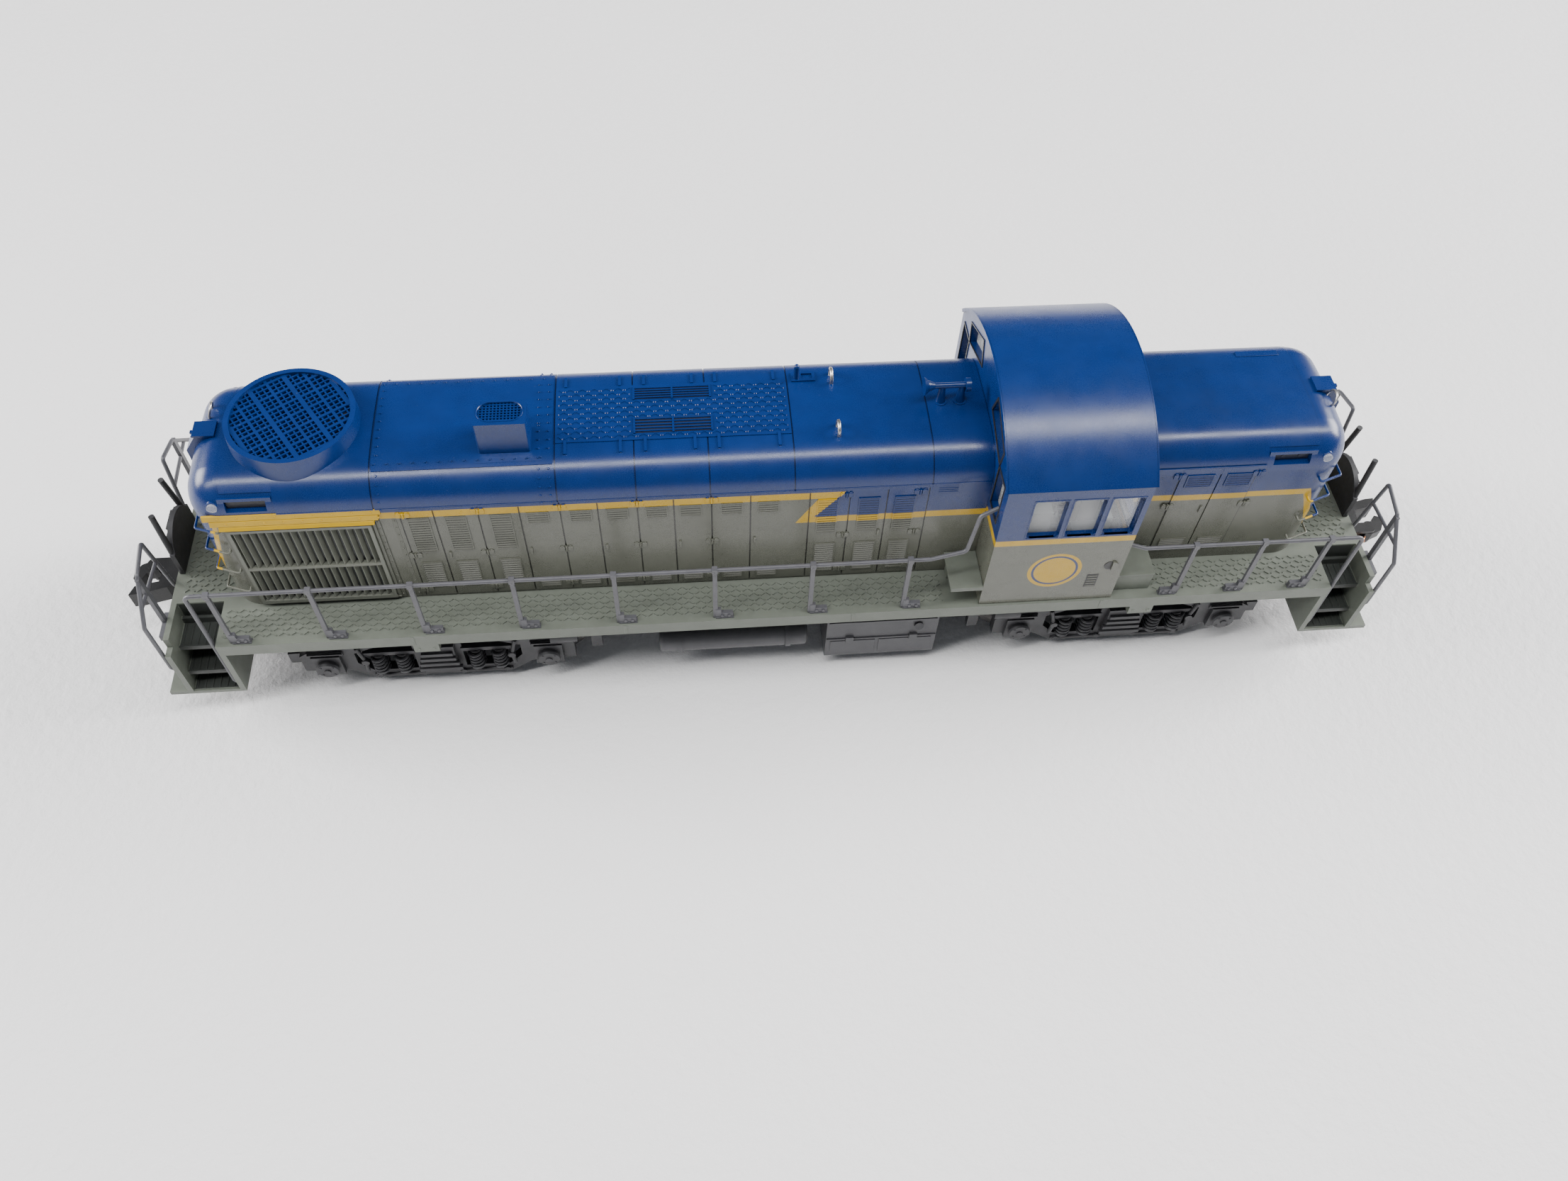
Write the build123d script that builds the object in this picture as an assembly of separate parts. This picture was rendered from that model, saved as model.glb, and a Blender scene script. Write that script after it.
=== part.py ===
from build123d import *
from math import atan2, cos, degrees, pi, radians, sin, sqrt
import os

# Model diesel locomotive, 1:87 road switcher.  Millimetres, +Z up.
# X runs along the track with the short hood and cab towards +X, Y across it.
# The origin is the middle of the box on the plane that the wheel flanges stand on.

# ---- Driving dimensions ----
TRUCK_X = 52.5
HALF_WHEELBASE = 16.33
TREAD_R = 5.84
FLANGE_R = 6.48
AXLE_Z = FLANGE_R
WHEEL_BACK_Y = 7.2

DECK_Z = 18.2
DECK_THICK = 1.0
DECK_HALF_LENGTH = 81.0
DECK_HALF_WIDTH = 17.9
SILL_DEPTH = 2.2
SILL_THICK = 1.0
PLATFORM_HALF_WIDTH = 10.0
PILOT_X = 87.6
PILOT_THICK = 0.8
PILOT_BOTTOM_Z = 6.4
FOOTBOARD_X = 91.0

WALL = 1.0
HOOD_HALF_WIDTH = 10.9
HOOD_SIDE_TOP_Z = 42.3
HOOD_TOP_Z = 43.1
HOOD_CORNER_R = 5.2
HOOD_END_R = 4.6
LONG_HOOD_END_X = -79.6
SHORT_HOOD_END_X = 78.4

CAB_REAR_X = 27.45
CAB_FRONT_X = 47.2
CAB_HALF_WIDTH = 17.45
CAB_EAVE_Z = 43.4
CAB_TOP_Z = 51.1
CAB_WINDOW_Z = (33.6, 41.4)
CAB_WINDOWS_X = ((31.5, 36.0), (36.8, 41.2), (42.0, 46.4))

NUMBER_BOARD_X = (-71.4, 69.4)
SHUTTER_X = (-75.0, -56.2)
SHUTTER_Z = (19.2, 35.8)
HEADLIGHTS_Z = (39.0, 36.6)
HEADLIGHT_R = 0.95

FAN_X = -65.6
FAN_R = 8.45
FAN_TOP_Z = 45.4
FAN_BAR_PITCH = 2.4
FAN_BAR_WIDTH = 0.4
FAN_GRID_ANGLE = 33

RAIL_R = 0.3
RAIL_Y = 17.15
RAIL_Z = 29.5
RAIL_END_X = 81.5

MODULE = 0.4
CENTRE_TEETH = 22
IDLER_TEETH = 24
AXLE_TEETH = 22
IDLER_X = 8.2
WORM_PITCH_R = 2.4
SHAFT_R = 0.75
RUNNING = 0.05

BOLSTER_R = 6.8

COUPLER_PIVOT_X = 82.6
SCREW_R = 0.6
POST_R = 1.1
KNUCKLE_PIN_X = 95.3
KNUCKLE_PIN_Y = -2.2


# ---- Helpers ----
def block(x0, x1, y0, y1, z0, z1):
    """Box between two opposite corners."""
    middle = Pos((x0 + x1) / 2, (y0 + y1) / 2, (z0 + z1) / 2)
    return middle * Box(abs(x1 - x0), abs(y1 - y0), abs(z1 - z0))


def rod_x(x0, x1, y, z, radius):
    """Cylinder along X."""
    return Pos((x0 + x1) / 2, y, z) * Rot(0, 90, 0) * Cylinder(radius, abs(x1 - x0))


def rod_y(x, y0, y1, z, radius):
    """Cylinder along Y."""
    return Pos(x, (y0 + y1) / 2, z) * Rot(90, 0, 0) * Cylinder(radius, abs(y1 - y0))


def rod_z(x, y, z0, z1, radius):
    """Cylinder along Z."""
    return Pos(x, y, (z0 + z1) / 2) * Cylinder(radius, abs(z1 - z0))


def prism_y(points, y0, y1):
    """Prism along Y from an outline of (x, z) points."""
    outline = make_face(Polyline(*[(x, y0, z) for x, z in points], close=True))
    return extrude(outline, amount=y1 - y0, dir=(0, 1, 0))


def prism_z(points, z0, z1):
    """Prism along Z from an outline of (x, y) points."""
    outline = make_face(Polyline(*[(x, y, z0) for x, y in points], close=True))
    return extrude(outline, amount=z1 - z0, dir=(0, 0, 1))


def tube(points, radius, bend=0.0):
    """Round wire along straight runs joined by arcs of one bend radius."""
    if len(points) == 2:
        path = Line(*points)
    else:
        path = FilletPolyline(*points, radius=bend)
    section = Plane(origin=path @ 0, z_dir=path % 0) * Circle(radius)
    return sweep(section, path=path)


def mirror_y(shape):
    return mirror(shape, Plane.XZ)


def mirror_x(shape):
    return mirror(shape, Plane.YZ)


def turn(shape):
    """The same piece at the other end of the locomotive."""
    return Rot(0, 0, 180) * shape


def solids_of(*shapes):
    found = []
    for shape in shapes:
        found.extend(shape.solids())
    return found


def largest(shape):
    return max(shape.solids(), key=lambda solid: solid.volume)


def save(node, *shapes):
    """Write one node, as one solid or as a group of separate solids."""
    solids = solids_of(*shapes)
    part = solids[0] if len(solids) == 1 else Compound(children=solids)
    export_step(part, f"parts/{node}.step")


# ---- Body shells ----
def hood_section(x, half_width, bottom_z, side_z, top_z, corner_r):
    """Closed hood outline in the YZ plane: straight sides, round corners, crowned roof."""
    bottom = Line((x, -half_width, bottom_z), (x, half_width, bottom_z))
    right = Line((x, half_width, bottom_z), (x, half_width, side_z))
    crown = ThreePointArc((x, half_width, side_z), (x, 0, top_z), (x, -half_width, side_z))
    left = Line((x, -half_width, side_z), (x, -half_width, bottom_z))
    face = make_face([bottom, right, crown, left]).face()
    top_corners = [v for v in face.vertices() if v.Z > bottom_z + 1]
    return face.fillet_2d(corner_r, top_corners)


def hood_block(open_x, end_x, inset, bottom_z):
    """Solid hood with a rounded closed end, shrunk by inset for its inner space."""
    half_width = HOOD_HALF_WIDTH - inset
    direction = 1 if end_x > open_x else -1
    length = abs(end_x - open_x) - inset
    side_z = HOOD_SIDE_TOP_Z - inset
    top_z = HOOD_TOP_Z - inset
    face = hood_section(open_x, half_width, bottom_z, side_z, top_z, HOOD_CORNER_R - inset)
    solid = extrude(face, amount=length, dir=(direction, 0, 0))
    far_x = open_x + direction * length
    end_edges = [
        e
        for e in solid.edges()
        if abs(e.center().X - far_x) < 1e-3 and e.center().Z > bottom_z + 0.5
    ]
    return fillet(end_edges, HOOD_END_R - inset)


def number_housing(x, side):
    """Flat-topped housing for a number board, low on the hood's rounded shoulder."""
    outline = [(9.0, 38.2), (10.75, 38.2), (10.15, 40.75), (9.0, 40.75)]
    points = [(x - 3.4, side * y, z) for y, z in outline]
    return extrude(make_face(Polyline(*points, close=True)), amount=6.8, dir=(1, 0, 0))


def number_pocket(x, side):
    return block(x - 2.6, x + 2.6, side * 9.85, side * 12, 38.8, 40.3)


def long_hood():
    outer = hood_block(CAB_REAR_X, LONG_HOOD_END_X, 0, DECK_Z)
    inner = hood_block(CAB_REAR_X, LONG_HOOD_END_X, WALL, DECK_Z - 1)
    shell = outer - inner
    shell -= rod_z(FAN_X, 0, 40, 50, FAN_R - 1.0)
    for side in (-1, 1):
        shell += number_housing(NUMBER_BOARD_X[0], side)
        shell -= number_pocket(NUMBER_BOARD_X[0], side)
        shell -= block(*SHUTTER_X, side * (HOOD_HALF_WIDTH - 0.4), side * 12, *SHUTTER_Z)
    for z in HEADLIGHTS_Z:
        shell -= rod_x(LONG_HOOD_END_X - 1, LONG_HOOD_END_X + 5, 0, z, HEADLIGHT_R)
    return shell


def short_hood():
    outer = hood_block(CAB_FRONT_X, SHORT_HOOD_END_X, 0, DECK_Z)
    inner = hood_block(CAB_FRONT_X, SHORT_HOOD_END_X, WALL, DECK_Z - 1)
    shell = outer - inner
    for side in (-1, 1):
        shell += number_housing(NUMBER_BOARD_X[1], side)
        shell -= number_pocket(NUMBER_BOARD_X[1], side)
    for z in HEADLIGHTS_Z:
        shell -= rod_x(SHORT_HOOD_END_X - 5, SHORT_HOOD_END_X + 1, 0, z, HEADLIGHT_R)
    return shell


def cab_section(x, inset, bottom_z):
    """Cab outline in the YZ plane: upright sides under one broad roof arc."""
    half = CAB_HALF_WIDTH - inset
    eave = CAB_EAVE_Z - inset * 0.4
    top = CAB_TOP_Z - inset
    floor_line = Line((x, -half, bottom_z), (x, half, bottom_z))
    side = Line((x, half, bottom_z), (x, half, eave))
    roof = ThreePointArc((x, half, eave), (x, 0, top), (x, -half, eave))
    other = Line((x, -half, eave), (x, -half, bottom_z))
    return make_face([floor_line, side, roof, other])


END_WINDOW_TALL = ((11.9, 35.2), (15.6, 35.2), (15.6, 42.4), (11.9, 42.4))
END_WINDOW_HIGH = ((4.2, 45.2), (11.6, 42.6), (12.2, 45.6), (5.6, 48.6))


def end_window(outline, side, x0, x1):
    """Window through an end wall, from an outline of (y, z) points."""
    points = [(x0, side * y, z) for y, z in outline]
    return extrude(make_face(Polyline(*points, close=True)), amount=x1 - x0, dir=(1, 0, 0))


def hood_void(x0, x1, clearance):
    face = hood_section(
        x0,
        HOOD_HALF_WIDTH - clearance,
        DECK_Z - 1,
        HOOD_SIDE_TOP_Z - clearance,
        HOOD_TOP_Z - clearance,
        HOOD_CORNER_R - clearance,
    )
    return extrude(face, amount=x1 - x0, dir=(1, 0, 0))


def cab():
    length = CAB_FRONT_X - CAB_REAR_X
    shell = extrude(cab_section(CAB_REAR_X, 0, DECK_Z), amount=length, dir=(1, 0, 0))
    inner = cab_section(CAB_REAR_X + WALL, WALL, DECK_Z - 1)
    shell -= extrude(inner, amount=length - 2 * WALL, dir=(1, 0, 0))
    shell -= hood_void(CAB_REAR_X - 1, CAB_FRONT_X + 1, WALL)
    for side in (-1, 1):
        for x0, x1 in CAB_WINDOWS_X:
            opening = block(x0, x1, side * 15, side * 19, *CAB_WINDOW_Z)
            opening = fillet(opening.edges().filter_by(Axis.Y), 0.35)
            shell -= opening
        for x0 in (CAB_REAR_X - 1, CAB_FRONT_X - WALL - 1):
            shell -= end_window(END_WINDOW_TALL, side, x0, x0 + WALL + 2)
            shell -= end_window(END_WINDOW_HIGH, side, x0, x0 + WALL + 2)
    return shell


def cab_panes():
    """Clear panes against the inside of the cab walls."""
    panes = []
    x_wall = CAB_FRONT_X - WALL
    y_wall = CAB_HALF_WIDTH - WALL
    for side in (-1, 1):
        panes.append(block(30.9, x_wall, side * (y_wall - 0.5), side * y_wall, 32.9, 42.1))
    tall = ((11.5, 34.8), (15.8, 34.8), (15.8, 42.6), (11.5, 42.6))
    for side in (-1, 1):
        for x0 in (CAB_REAR_X + WALL, CAB_FRONT_X - WALL - 0.5):
            pane = end_window(tall, side, x0, x0 + 0.5)
            high = ((4.0, 44.4), (11.9, 42.6), (12.6, 45.6), (5.6, 48.9))
            panes.append(pane - panes[0] - panes[1])
            panes.append(end_window(high, side, x0, x0 + 0.5))
    return panes


def cab_inside():
    """Cab floor seats and control stand, seen through the side windows."""
    x0 = CAB_REAR_X + WALL
    x1 = CAB_FRONT_X - WALL
    y_wall = CAB_HALF_WIDTH - WALL
    pieces = []
    for side in (-1, 1):
        floor_plate = block(x0, x1, side * HOOD_HALF_WIDTH, side * y_wall, 25.0, 26.0)
        seat = block(39.6, 43.2, side * 12.2, side * 15.4, 26.0, 30.2)
        seat += block(43.2, 44.0, side * 12.2, side * 15.4, 26.0, 34.6)
        stand = block(33.4, 36.2, side * 11.4, side * 13.6, 26.0, 34.0)
        pieces.append(floor_plate + seat + stand)
    return pieces


def shutter(side):
    """Radiator shutter frame with upright slats in two rows."""
    y_in = side * (HOOD_HALF_WIDTH - 0.4)
    y_back = side * (HOOD_HALF_WIDTH - 0.1)
    y_out = side * (HOOD_HALF_WIDTH + 0.7)
    x0, x1 = SHUTTER_X
    z0, z1 = SHUTTER_Z
    middle_z = 27.3
    piece = block(x0, x1, y_in, y_out, z0, z1)
    for low, high in ((z0 + 0.7, middle_z - 0.25), (middle_z + 0.25, z1 - 0.5)):
        piece -= block(x0 + 0.5, x1 - 0.5, y_back, y_out + side, low, high)
    count = 17
    pitch = (x1 - x0 - 1.0) / count
    for i in range(count):
        x = x0 + 0.5 + pitch * (i + 0.5)
        slat = Pos(x, side * (HOOD_HALF_WIDTH + 0.25), (z0 + z1) / 2) * Rot(0, 0, side * 30)
        piece += slat * Box(0.16, 0.8, z1 - z0 - 1.0)
    return piece


def fan_shroud():
    """Radiator fan shroud: a skirt on the roof, a rim and a square-mesh guard."""
    skirt_z = 41.0
    height = FAN_TOP_Z - skirt_z
    skirt = Pos(FAN_X, 0, skirt_z + height / 2) * Cone(FAN_R + 0.3, FAN_R, height)
    bore = rod_z(FAN_X, 0, 40, FAN_TOP_Z + 1, FAN_R - 0.7)
    shroud = skirt - bore - hood_void(FAN_X - 12, FAN_X + 12, 0)
    disc = rod_z(FAN_X, 0, FAN_TOP_Z - 0.9, FAN_TOP_Z - 0.3, FAN_R - 0.7)
    bars = []
    for i in range(-3, 4):
        offset = i * FAN_BAR_PITCH
        low = offset - FAN_BAR_WIDTH / 2
        high = offset + FAN_BAR_WIDTH / 2
        bars.append(block(-FAN_R, FAN_R, low, high, -0.3, 0.3))
        bars.append(block(low, high, -FAN_R, FAN_R, -0.3, 0.3))
    grid = Pos(FAN_X, 0, FAN_TOP_Z - 0.6) * Rot(0, 0, FAN_GRID_ANGLE) * (bars[0] + bars[1:])
    return shroud + (grid & disc)


def on_roof(x0, x1, y0, y1, height):
    """Thin plate that follows the roof, standing the given height above it."""
    grown = hood_void(x0, x1, -height) & block(x0, x1, y0, y1, 38, 46)
    return grown - hood_void(x0 - 1, x1 + 1, 0)


def stack():
    """Tall exhaust stack with an oval barred mouth and a plate round its foot."""
    x0 = -41.2
    x1 = -34.4
    top_z = 48.5
    body = block(x0, x1, -6.3, -2.0, 41.5, top_z)
    body = fillet(body.edges().filter_by(Axis.Z), 0.3)
    body -= Pos(-37.8, -3.95, top_z - 2.4) * extrude(SlotOverall(5.7, 3.2), amount=4)
    for i in range(8):
        x = -40.39 + i * 0.74
        body += block(x - 0.14, x + 0.14, -5.7, -2.2, top_z - 0.9, top_z - 0.6)
    body -= hood_void(x0 - 5, x1 + 5, 0)
    return body + on_roof(x0 - 0.6, x1 + 1.4, -7.6, -1.5, 0.25)


def air_horn():
    """Single-trumpet horn on two brackets, its bell towards the long hood."""
    y = -0.3
    z = 46.2
    horn = rod_x(19.6, 24.4, y, z, 0.4)
    horn += Pos(18.8, y, z) * Rot(0, 90, 0) * Cone(1.3, 0.8, 0.6)
    horn += Pos(19.55, y, z) * Rot(0, 90, 0) * Cone(0.8, 0.42, 0.9)
    horn += rod_x(24.2, 24.9, y, z, 0.95)
    for x in (21.1, 23.8):
        horn += Pos(x, y, 44.5) * Cone(0.75, 0.35, 3.4)
        horn += rod_z(x, y, 42.5, 43.35, 0.95)
    return horn - hood_void(15, 27, 0)


def vent_pipe():
    """Upright round-topped pipe at one end of a small framed box on the roof."""
    x = 1.7
    y = 5.1
    frame = on_roof(1.0, 4.3, 4.5, 6.4, 0.35) - block(2.4, 3.9, 4.95, 5.95, 38, 46)
    pipe = rod_z(x, y, 42.0, 45.4, 0.4) + Pos(x, y, 45.4) * Sphere(0.4)
    return frame + (pipe - hood_void(0, 6, 0))


def lift_ring(x, y):
    ring = Pos(x, y, 43.6) * Rot(0, 90, 0) * Torus(1.0, 0.25)
    return ring - hood_void(x - 2, x + 2, 0)


def headlight_visor(end_x, out):
    """Twin headlight bezel on the hood end, under a flat plate level with the roof."""
    top_z = HOOD_TOP_Z
    x_in = end_x - out * 3.9
    x_lip = end_x - out * 1.0
    plate = block(x_in, x_lip, -1.35, 1.35, top_z, top_z + 0.3)
    plate += block(x_lip - out * 0.4, x_lip + out * 0.3, -0.7, -0.2, top_z, top_z + 0.3)
    outline = [
        (x_in, top_z),
        (x_lip - out * 0.3, top_z),
        (end_x + out * 0.5, 40.6),
        (end_x + out * 0.5, 35.4),
        (x_in, 35.4),
    ]
    bezel = prism_y(outline, -1.2, 1.2)
    for z in HEADLIGHTS_Z:
        bezel -= rod_x(end_x - 5, end_x + 5, 0, z, HEADLIGHT_R)
    return (plate + bezel) - hood_block(0, end_x, 0, DECK_Z)


def lenses():
    """Headlight lenses, rear number board panes and class lights, all clear mouldings."""
    pieces = []
    for end_x, out in ((LONG_HOOD_END_X, -1), (SHORT_HOOD_END_X, 1)):
        for z in HEADLIGHTS_Z:
            pieces.append(rod_x(end_x - out * 0.9, end_x + out * 0.3, 0, z, HEADLIGHT_R))
        light_x = end_x - out * 4.0
        for side in (-1, 1):
            lens = rod_y(light_x, side * 9.0, side * 10.75, 39.6, 0.65)
            pieces.append(lens - hood_block(0, end_x, 0, DECK_Z))
    board_x = NUMBER_BOARD_X[0]
    for side in (-1, 1):
        y_back = side * 9.85
        pieces.append(block(board_x - 2.5, board_x + 2.5, y_back, y_back + side * 0.2, 38.9, 40.2))
    return pieces


# ---- Walkway, ends and steps ----
def walkway():
    """Running boards, side sills and end platforms in one moulding."""
    z0 = DECK_Z - DECK_THICK
    half_x = DECK_HALF_LENGTH
    half_y = PLATFORM_HALF_WIDTH
    sill_z = DECK_Z - SILL_DEPTH
    deck = block(-half_x, half_x, -DECK_HALF_WIDTH, DECK_HALF_WIDTH, z0, DECK_Z)
    deck += block(-PILOT_X, PILOT_X, -half_y, half_y, z0, DECK_Z)
    deck -= block(LONG_HOOD_END_X + 1.6, SHORT_HOOD_END_X - 1.6, -9.6, 9.6, z0 - 1, DECK_Z + 1)
    for side in (-1, 1):
        outer = side * DECK_HALF_WIDTH
        inner = side * (DECK_HALF_WIDTH - SILL_THICK)
        deck += block(-half_x, half_x, inner, outer, sill_z, z0)
        for x in (-TRUCK_X, TRUCK_X):
            deck += block(x - 1.8, x + 1.8, inner, outer, 14.2, sill_z)
    shelf_x = 22.8
    shelf_z = DECK_Z + 4.4
    for side in (-1, 1):
        y_in = side * HOOD_HALF_WIDTH
        deck += block(CAB_FRONT_X, 53.2, y_in, side * 16.2, DECK_Z, DECK_Z + 3.6)
        deck += block(shelf_x, CAB_REAR_X, y_in, side * 17.6, shelf_z - 0.7, shelf_z)
        deck += block(shelf_x + 0.6, CAB_REAR_X, y_in, side * 12.6, DECK_Z, shelf_z)
    return deck


STEP_WALL = 0.8
STEP_TREADS = ((14.0, 11.0, 15.2), (9.6, 12.6, 16.6), (PILOT_BOTTOM_Z, 14.2, 17.9))


def step_well(side):
    """Three see-through treads between two stringers at one corner."""
    y_wall = side * PLATFORM_HALF_WIDTH
    y_inner = y_wall - side * STEP_WALL
    y_out = side * DECK_HALF_WIDTH
    x0 = DECK_HALF_LENGTH
    x1 = PILOT_X
    well = block(x0 - STEP_WALL, x0, y_inner, y_out, PILOT_BOTTOM_Z, DECK_Z - SILL_DEPTH)
    well += block(x0, x1, y_inner, y_wall, PILOT_BOTTOM_Z, DECK_Z - DECK_THICK)
    for z, y_back, y_front in STEP_TREADS:
        tread = block(x0, x1, side * y_back, side * y_front, z, z + 0.6)
        tread += block(x0, x1, side * (y_back - 0.5), side * y_back, z, z + 1.8)
        well += tread
    return well


def pilot(end):
    """Pilot sheet with its coupler opening, step wells and punched footboards."""
    face_x = PILOT_X + PILOT_THICK
    half_y = DECK_HALF_WIDTH
    bottom_z = PILOT_BOTTOM_Z
    sheet = block(PILOT_X, face_x, -half_y, half_y, bottom_z, DECK_Z)
    sheet -= block(PILOT_X - 1, face_x + 1, -4.6, 4.6, 7.6, 13.6)
    for side in (-1, 1):
        sheet -= block(PILOT_X - 1, face_x + 1, side * 16.2, side * 20, 16.4, 20)
        sheet += step_well(side)
        board = block(face_x, FOOTBOARD_X, side * 9.4, side * half_y, bottom_z, bottom_z + 0.7)
        for i in range(6):
            for x in (face_x + 0.85, face_x + 2.05):
                board -= rod_z(x, side * (10.6 + i * 1.25), 4, 7, 0.32)
        sheet += board
    return sheet if end > 0 else turn(sheet)


def drop_step(end):
    """Folded-up crossing step: an arched, ribbed plate between two side arms."""
    x0 = PILOT_X - 0.3
    arch = block(x0, x0 + 0.7, -4.8, 4.8, DECK_Z + 0.05, 22.6)
    arch += rod_x(x0, x0 + 0.7, 0, 20.6, 4.8) - block(x0 - 1, x0 + 2, -6, 6, 10, 22.0)
    for i in range(9):
        z = DECK_Z + 0.8 + i * 0.72
        half = 4.4 if z < 22 else sqrt(4.5 ** 2 - (z - 20.6) ** 2)
        arch += block(x0 + 0.7, x0 + 0.95, -half, half, z, z + 0.3)
    for side in (-1, 1):
        arm = tube([(x0 + 0.35, side * 4.5, DECK_Z + 0.6), (x0 + 0.9, side * 3.3, 29.8)], 0.42)
        arch += arm
    arch &= block(x0 - 1, x0 + 3, -6, 6, DECK_Z, 31)
    return arch if end > 0 else turn(arch)


STANCHIONS_LONG = (-78.6, -65.4, -52.0, -38.5, -24.8, -11.0, 2.6, 16.2)
STANCHIONS_SHORT = (57.0, 67.0, 76.8)


def stanchion(x, side, toe):
    """Upright with an L-shaped foot bolted to the walkway edge."""
    y = side * RAIL_Y
    post = block(x - 0.32, x + 0.32, y - 0.22, y + 0.22, DECK_Z, RAIL_Z)
    foot = block(x, x + toe * 2.5, y - 0.3, y + 0.3, DECK_Z, DECK_Z + 1.15)
    collar = block(x - 0.4, x + 0.4, y - 0.4, y + 0.4, RAIL_Z - 0.4, RAIL_Z + 0.4)
    web = block(x, x + toe * 0.8, y - 0.3, y + 0.3, DECK_Z + 1.1, DECK_Z + 2.0)
    return post + foot + collar + web


def rail_end(x, side):
    """Lug that carries the foot of a side rail on the step well."""
    y = side * RAIL_Y
    return block(x, DECK_HALF_LENGTH * (1 if x > 0 else -1), y - 0.3, y + 0.3, 8.1, 8.7)


def side_rail_long(side):
    """Long rail; on the right-hand side it climbs round the cab corner."""
    y = side * RAIL_Y
    path = [(-RAIL_END_X, y, 8.4), (-RAIL_END_X, y, RAIL_Z)]
    if side < 0:
        path += [(19.0, y, RAIL_Z), (23.8, y, 31.0), (25.0, -16.0, 37.2), (CAB_REAR_X, -15.4, 38.0)]
    else:
        path += [(CAB_REAR_X, y, RAIL_Z)]
    rail = tube(path, RAIL_R, 0.9) + rail_end(-RAIL_END_X, side)
    for x in STANCHIONS_LONG:
        rail += stanchion(x, side, 1)
    return rail


def side_rail_short(side):
    y = side * RAIL_Y
    start = (CAB_FRONT_X, y - side * 1.0, RAIL_Z)
    bend = (CAB_FRONT_X + 2.4, y, RAIL_Z)
    corner = (RAIL_END_X, y, RAIL_Z)
    foot = (RAIL_END_X, y, 8.4)
    rail = tube([start, bend, corner, foot], RAIL_R, 0.9) + rail_end(RAIL_END_X, side)
    for x in STANCHIONS_SHORT:
        rail += stanchion(x, side, -1)
    return rail


def end_rail(end):
    """Pair of end rails, each from the step corner up and over to the platform."""
    face_x = PILOT_X + PILOT_THICK
    x = face_x + 0.5
    pieces = []
    for side in (-1, 1):
        outer = [
            (face_x, side * 17.3, 12.6),
            (x, side * 17.3, 12.6),
            (x, side * 17.3, 22.8),
            (x, side * 12.2, 28.2),
            (x, side * 7.6, 29.4),
            (x, side * 6.0, DECK_Z - 1.0),
            (face_x, side * 6.0, DECK_Z - 1.0),
        ]
        half = tube(outer, RAIL_R, 0.45)
        half += tube([(x, side * 15.2, 24.8), (x, side * 6.7, 24.2)], RAIL_R * 0.9)
        half += block(x - 0.3, x + 0.25, side * 12.2, side * 13.0, DECK_Z - 0.4, 28.0)
        half += block(face_x, x + 0.25, side * 11.2, side * 15.4, DECK_Z - 1.3, DECK_Z - 0.3)
        pieces.append(half)
    group = pieces[0] + pieces[1]
    return group if end > 0 else turn(group)


def grab_irons():
    """Ladder grabs on the hood-end corners."""
    pieces = []
    for end_x, out in ((LONG_HOOD_END_X, -1), (SHORT_HOOD_END_X, 1)):
        for side in (-1, 1):
            for z in (22.6, 27.0, 31.4, 35.8):
                path = [
                    (end_x - out * 3.9, side * 10.2, z),
                    (end_x - out * 3.9, side * 11.8, z),
                    (end_x - out * 0.6, side * 10.6, z),
                    (end_x - out * 0.6, side * 8.0, z),
                ]
                grab = tube(path, 0.17, 0.3)
                pieces.append(grab)
    hoods = hood_block(0, LONG_HOOD_END_X, 0, DECK_Z) + hood_block(0, SHORT_HOOD_END_X, 0, DECK_Z)
    return [largest(piece - hoods) for piece in pieces]


# ---- Underframe ----
KEEL_X = 27.0
CASTING_Z = (14.6, 17.2)


def gear_centre_z():
    """Heights of the idlers and the centre gear, one and two meshes up from the axles."""
    first = MODULE * (AXLE_TEETH + IDLER_TEETH) / 2
    second = MODULE * (IDLER_TEETH + CENTRE_TEETH) / 2
    idler_z = AXLE_Z + sqrt(first ** 2 - (HALF_WHEELBASE - IDLER_X) ** 2)
    return idler_z, idler_z + sqrt(second ** 2 - IDLER_X ** 2)


IDLER_Z, CENTRE_Z = gear_centre_z()
DRIVE_Z = CENTRE_Z + MODULE * CENTRE_TEETH / 2 + WORM_PITCH_R


def underframe():
    """Die-cast chassis: slab, motor keel, truck openings and coupler pads."""
    z0, z1 = CASTING_Z
    frame = block(-76.5, 76.5, -12.0, 12.0, z0, z1)
    frame += block(-75.0, 75.0, -9.2, 9.2, z1, 20.4)
    frame += block(-KEEL_X, KEEL_X, -8.4, 8.4, 12.6, z0)
    frame -= rod_x(-KEEL_X - 3, KEEL_X + 3, 0, DRIVE_Z, 7.75)
    frame -= block(-KEEL_X - 3, KEEL_X + 3, -7.75, 7.75, DRIVE_Z, 30)
    for x in (-TRUCK_X, TRUCK_X):
        frame -= block(x - 15.0, x + 15.0, -5.0, 5.0, z0 - 3, 21)
    for out in (-1, 1):
        pad = block(out * 74.0, out * 86.8, -5.0, 5.0, z0, DECK_Z - DECK_THICK)
        pad += block(out * 79.4, out * 86.8, -5.0, 5.0, 12.8, z0)
        frame += pad - rod_z(out * COUPLER_PIVOT_X, 0, 12, 16.0, SCREW_R)
    return frame


def ballast():
    """Cast weight over the driveline, standing on the casting by four feet."""
    weight = block(-62.0, 22.0, -7.4, 7.4, 31.2, 40.2)
    for x0, x1 in ((-28.6, -27.0), (20.0, 21.6)):
        for side in (-1, 1):
            weight += block(x0, x1, side * 7.9, side * 9.1, 20.4, 33.0)
            weight += block(x0, x1, side * 7.0, side * 9.1, 31.2, 33.0)
    return weight


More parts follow.
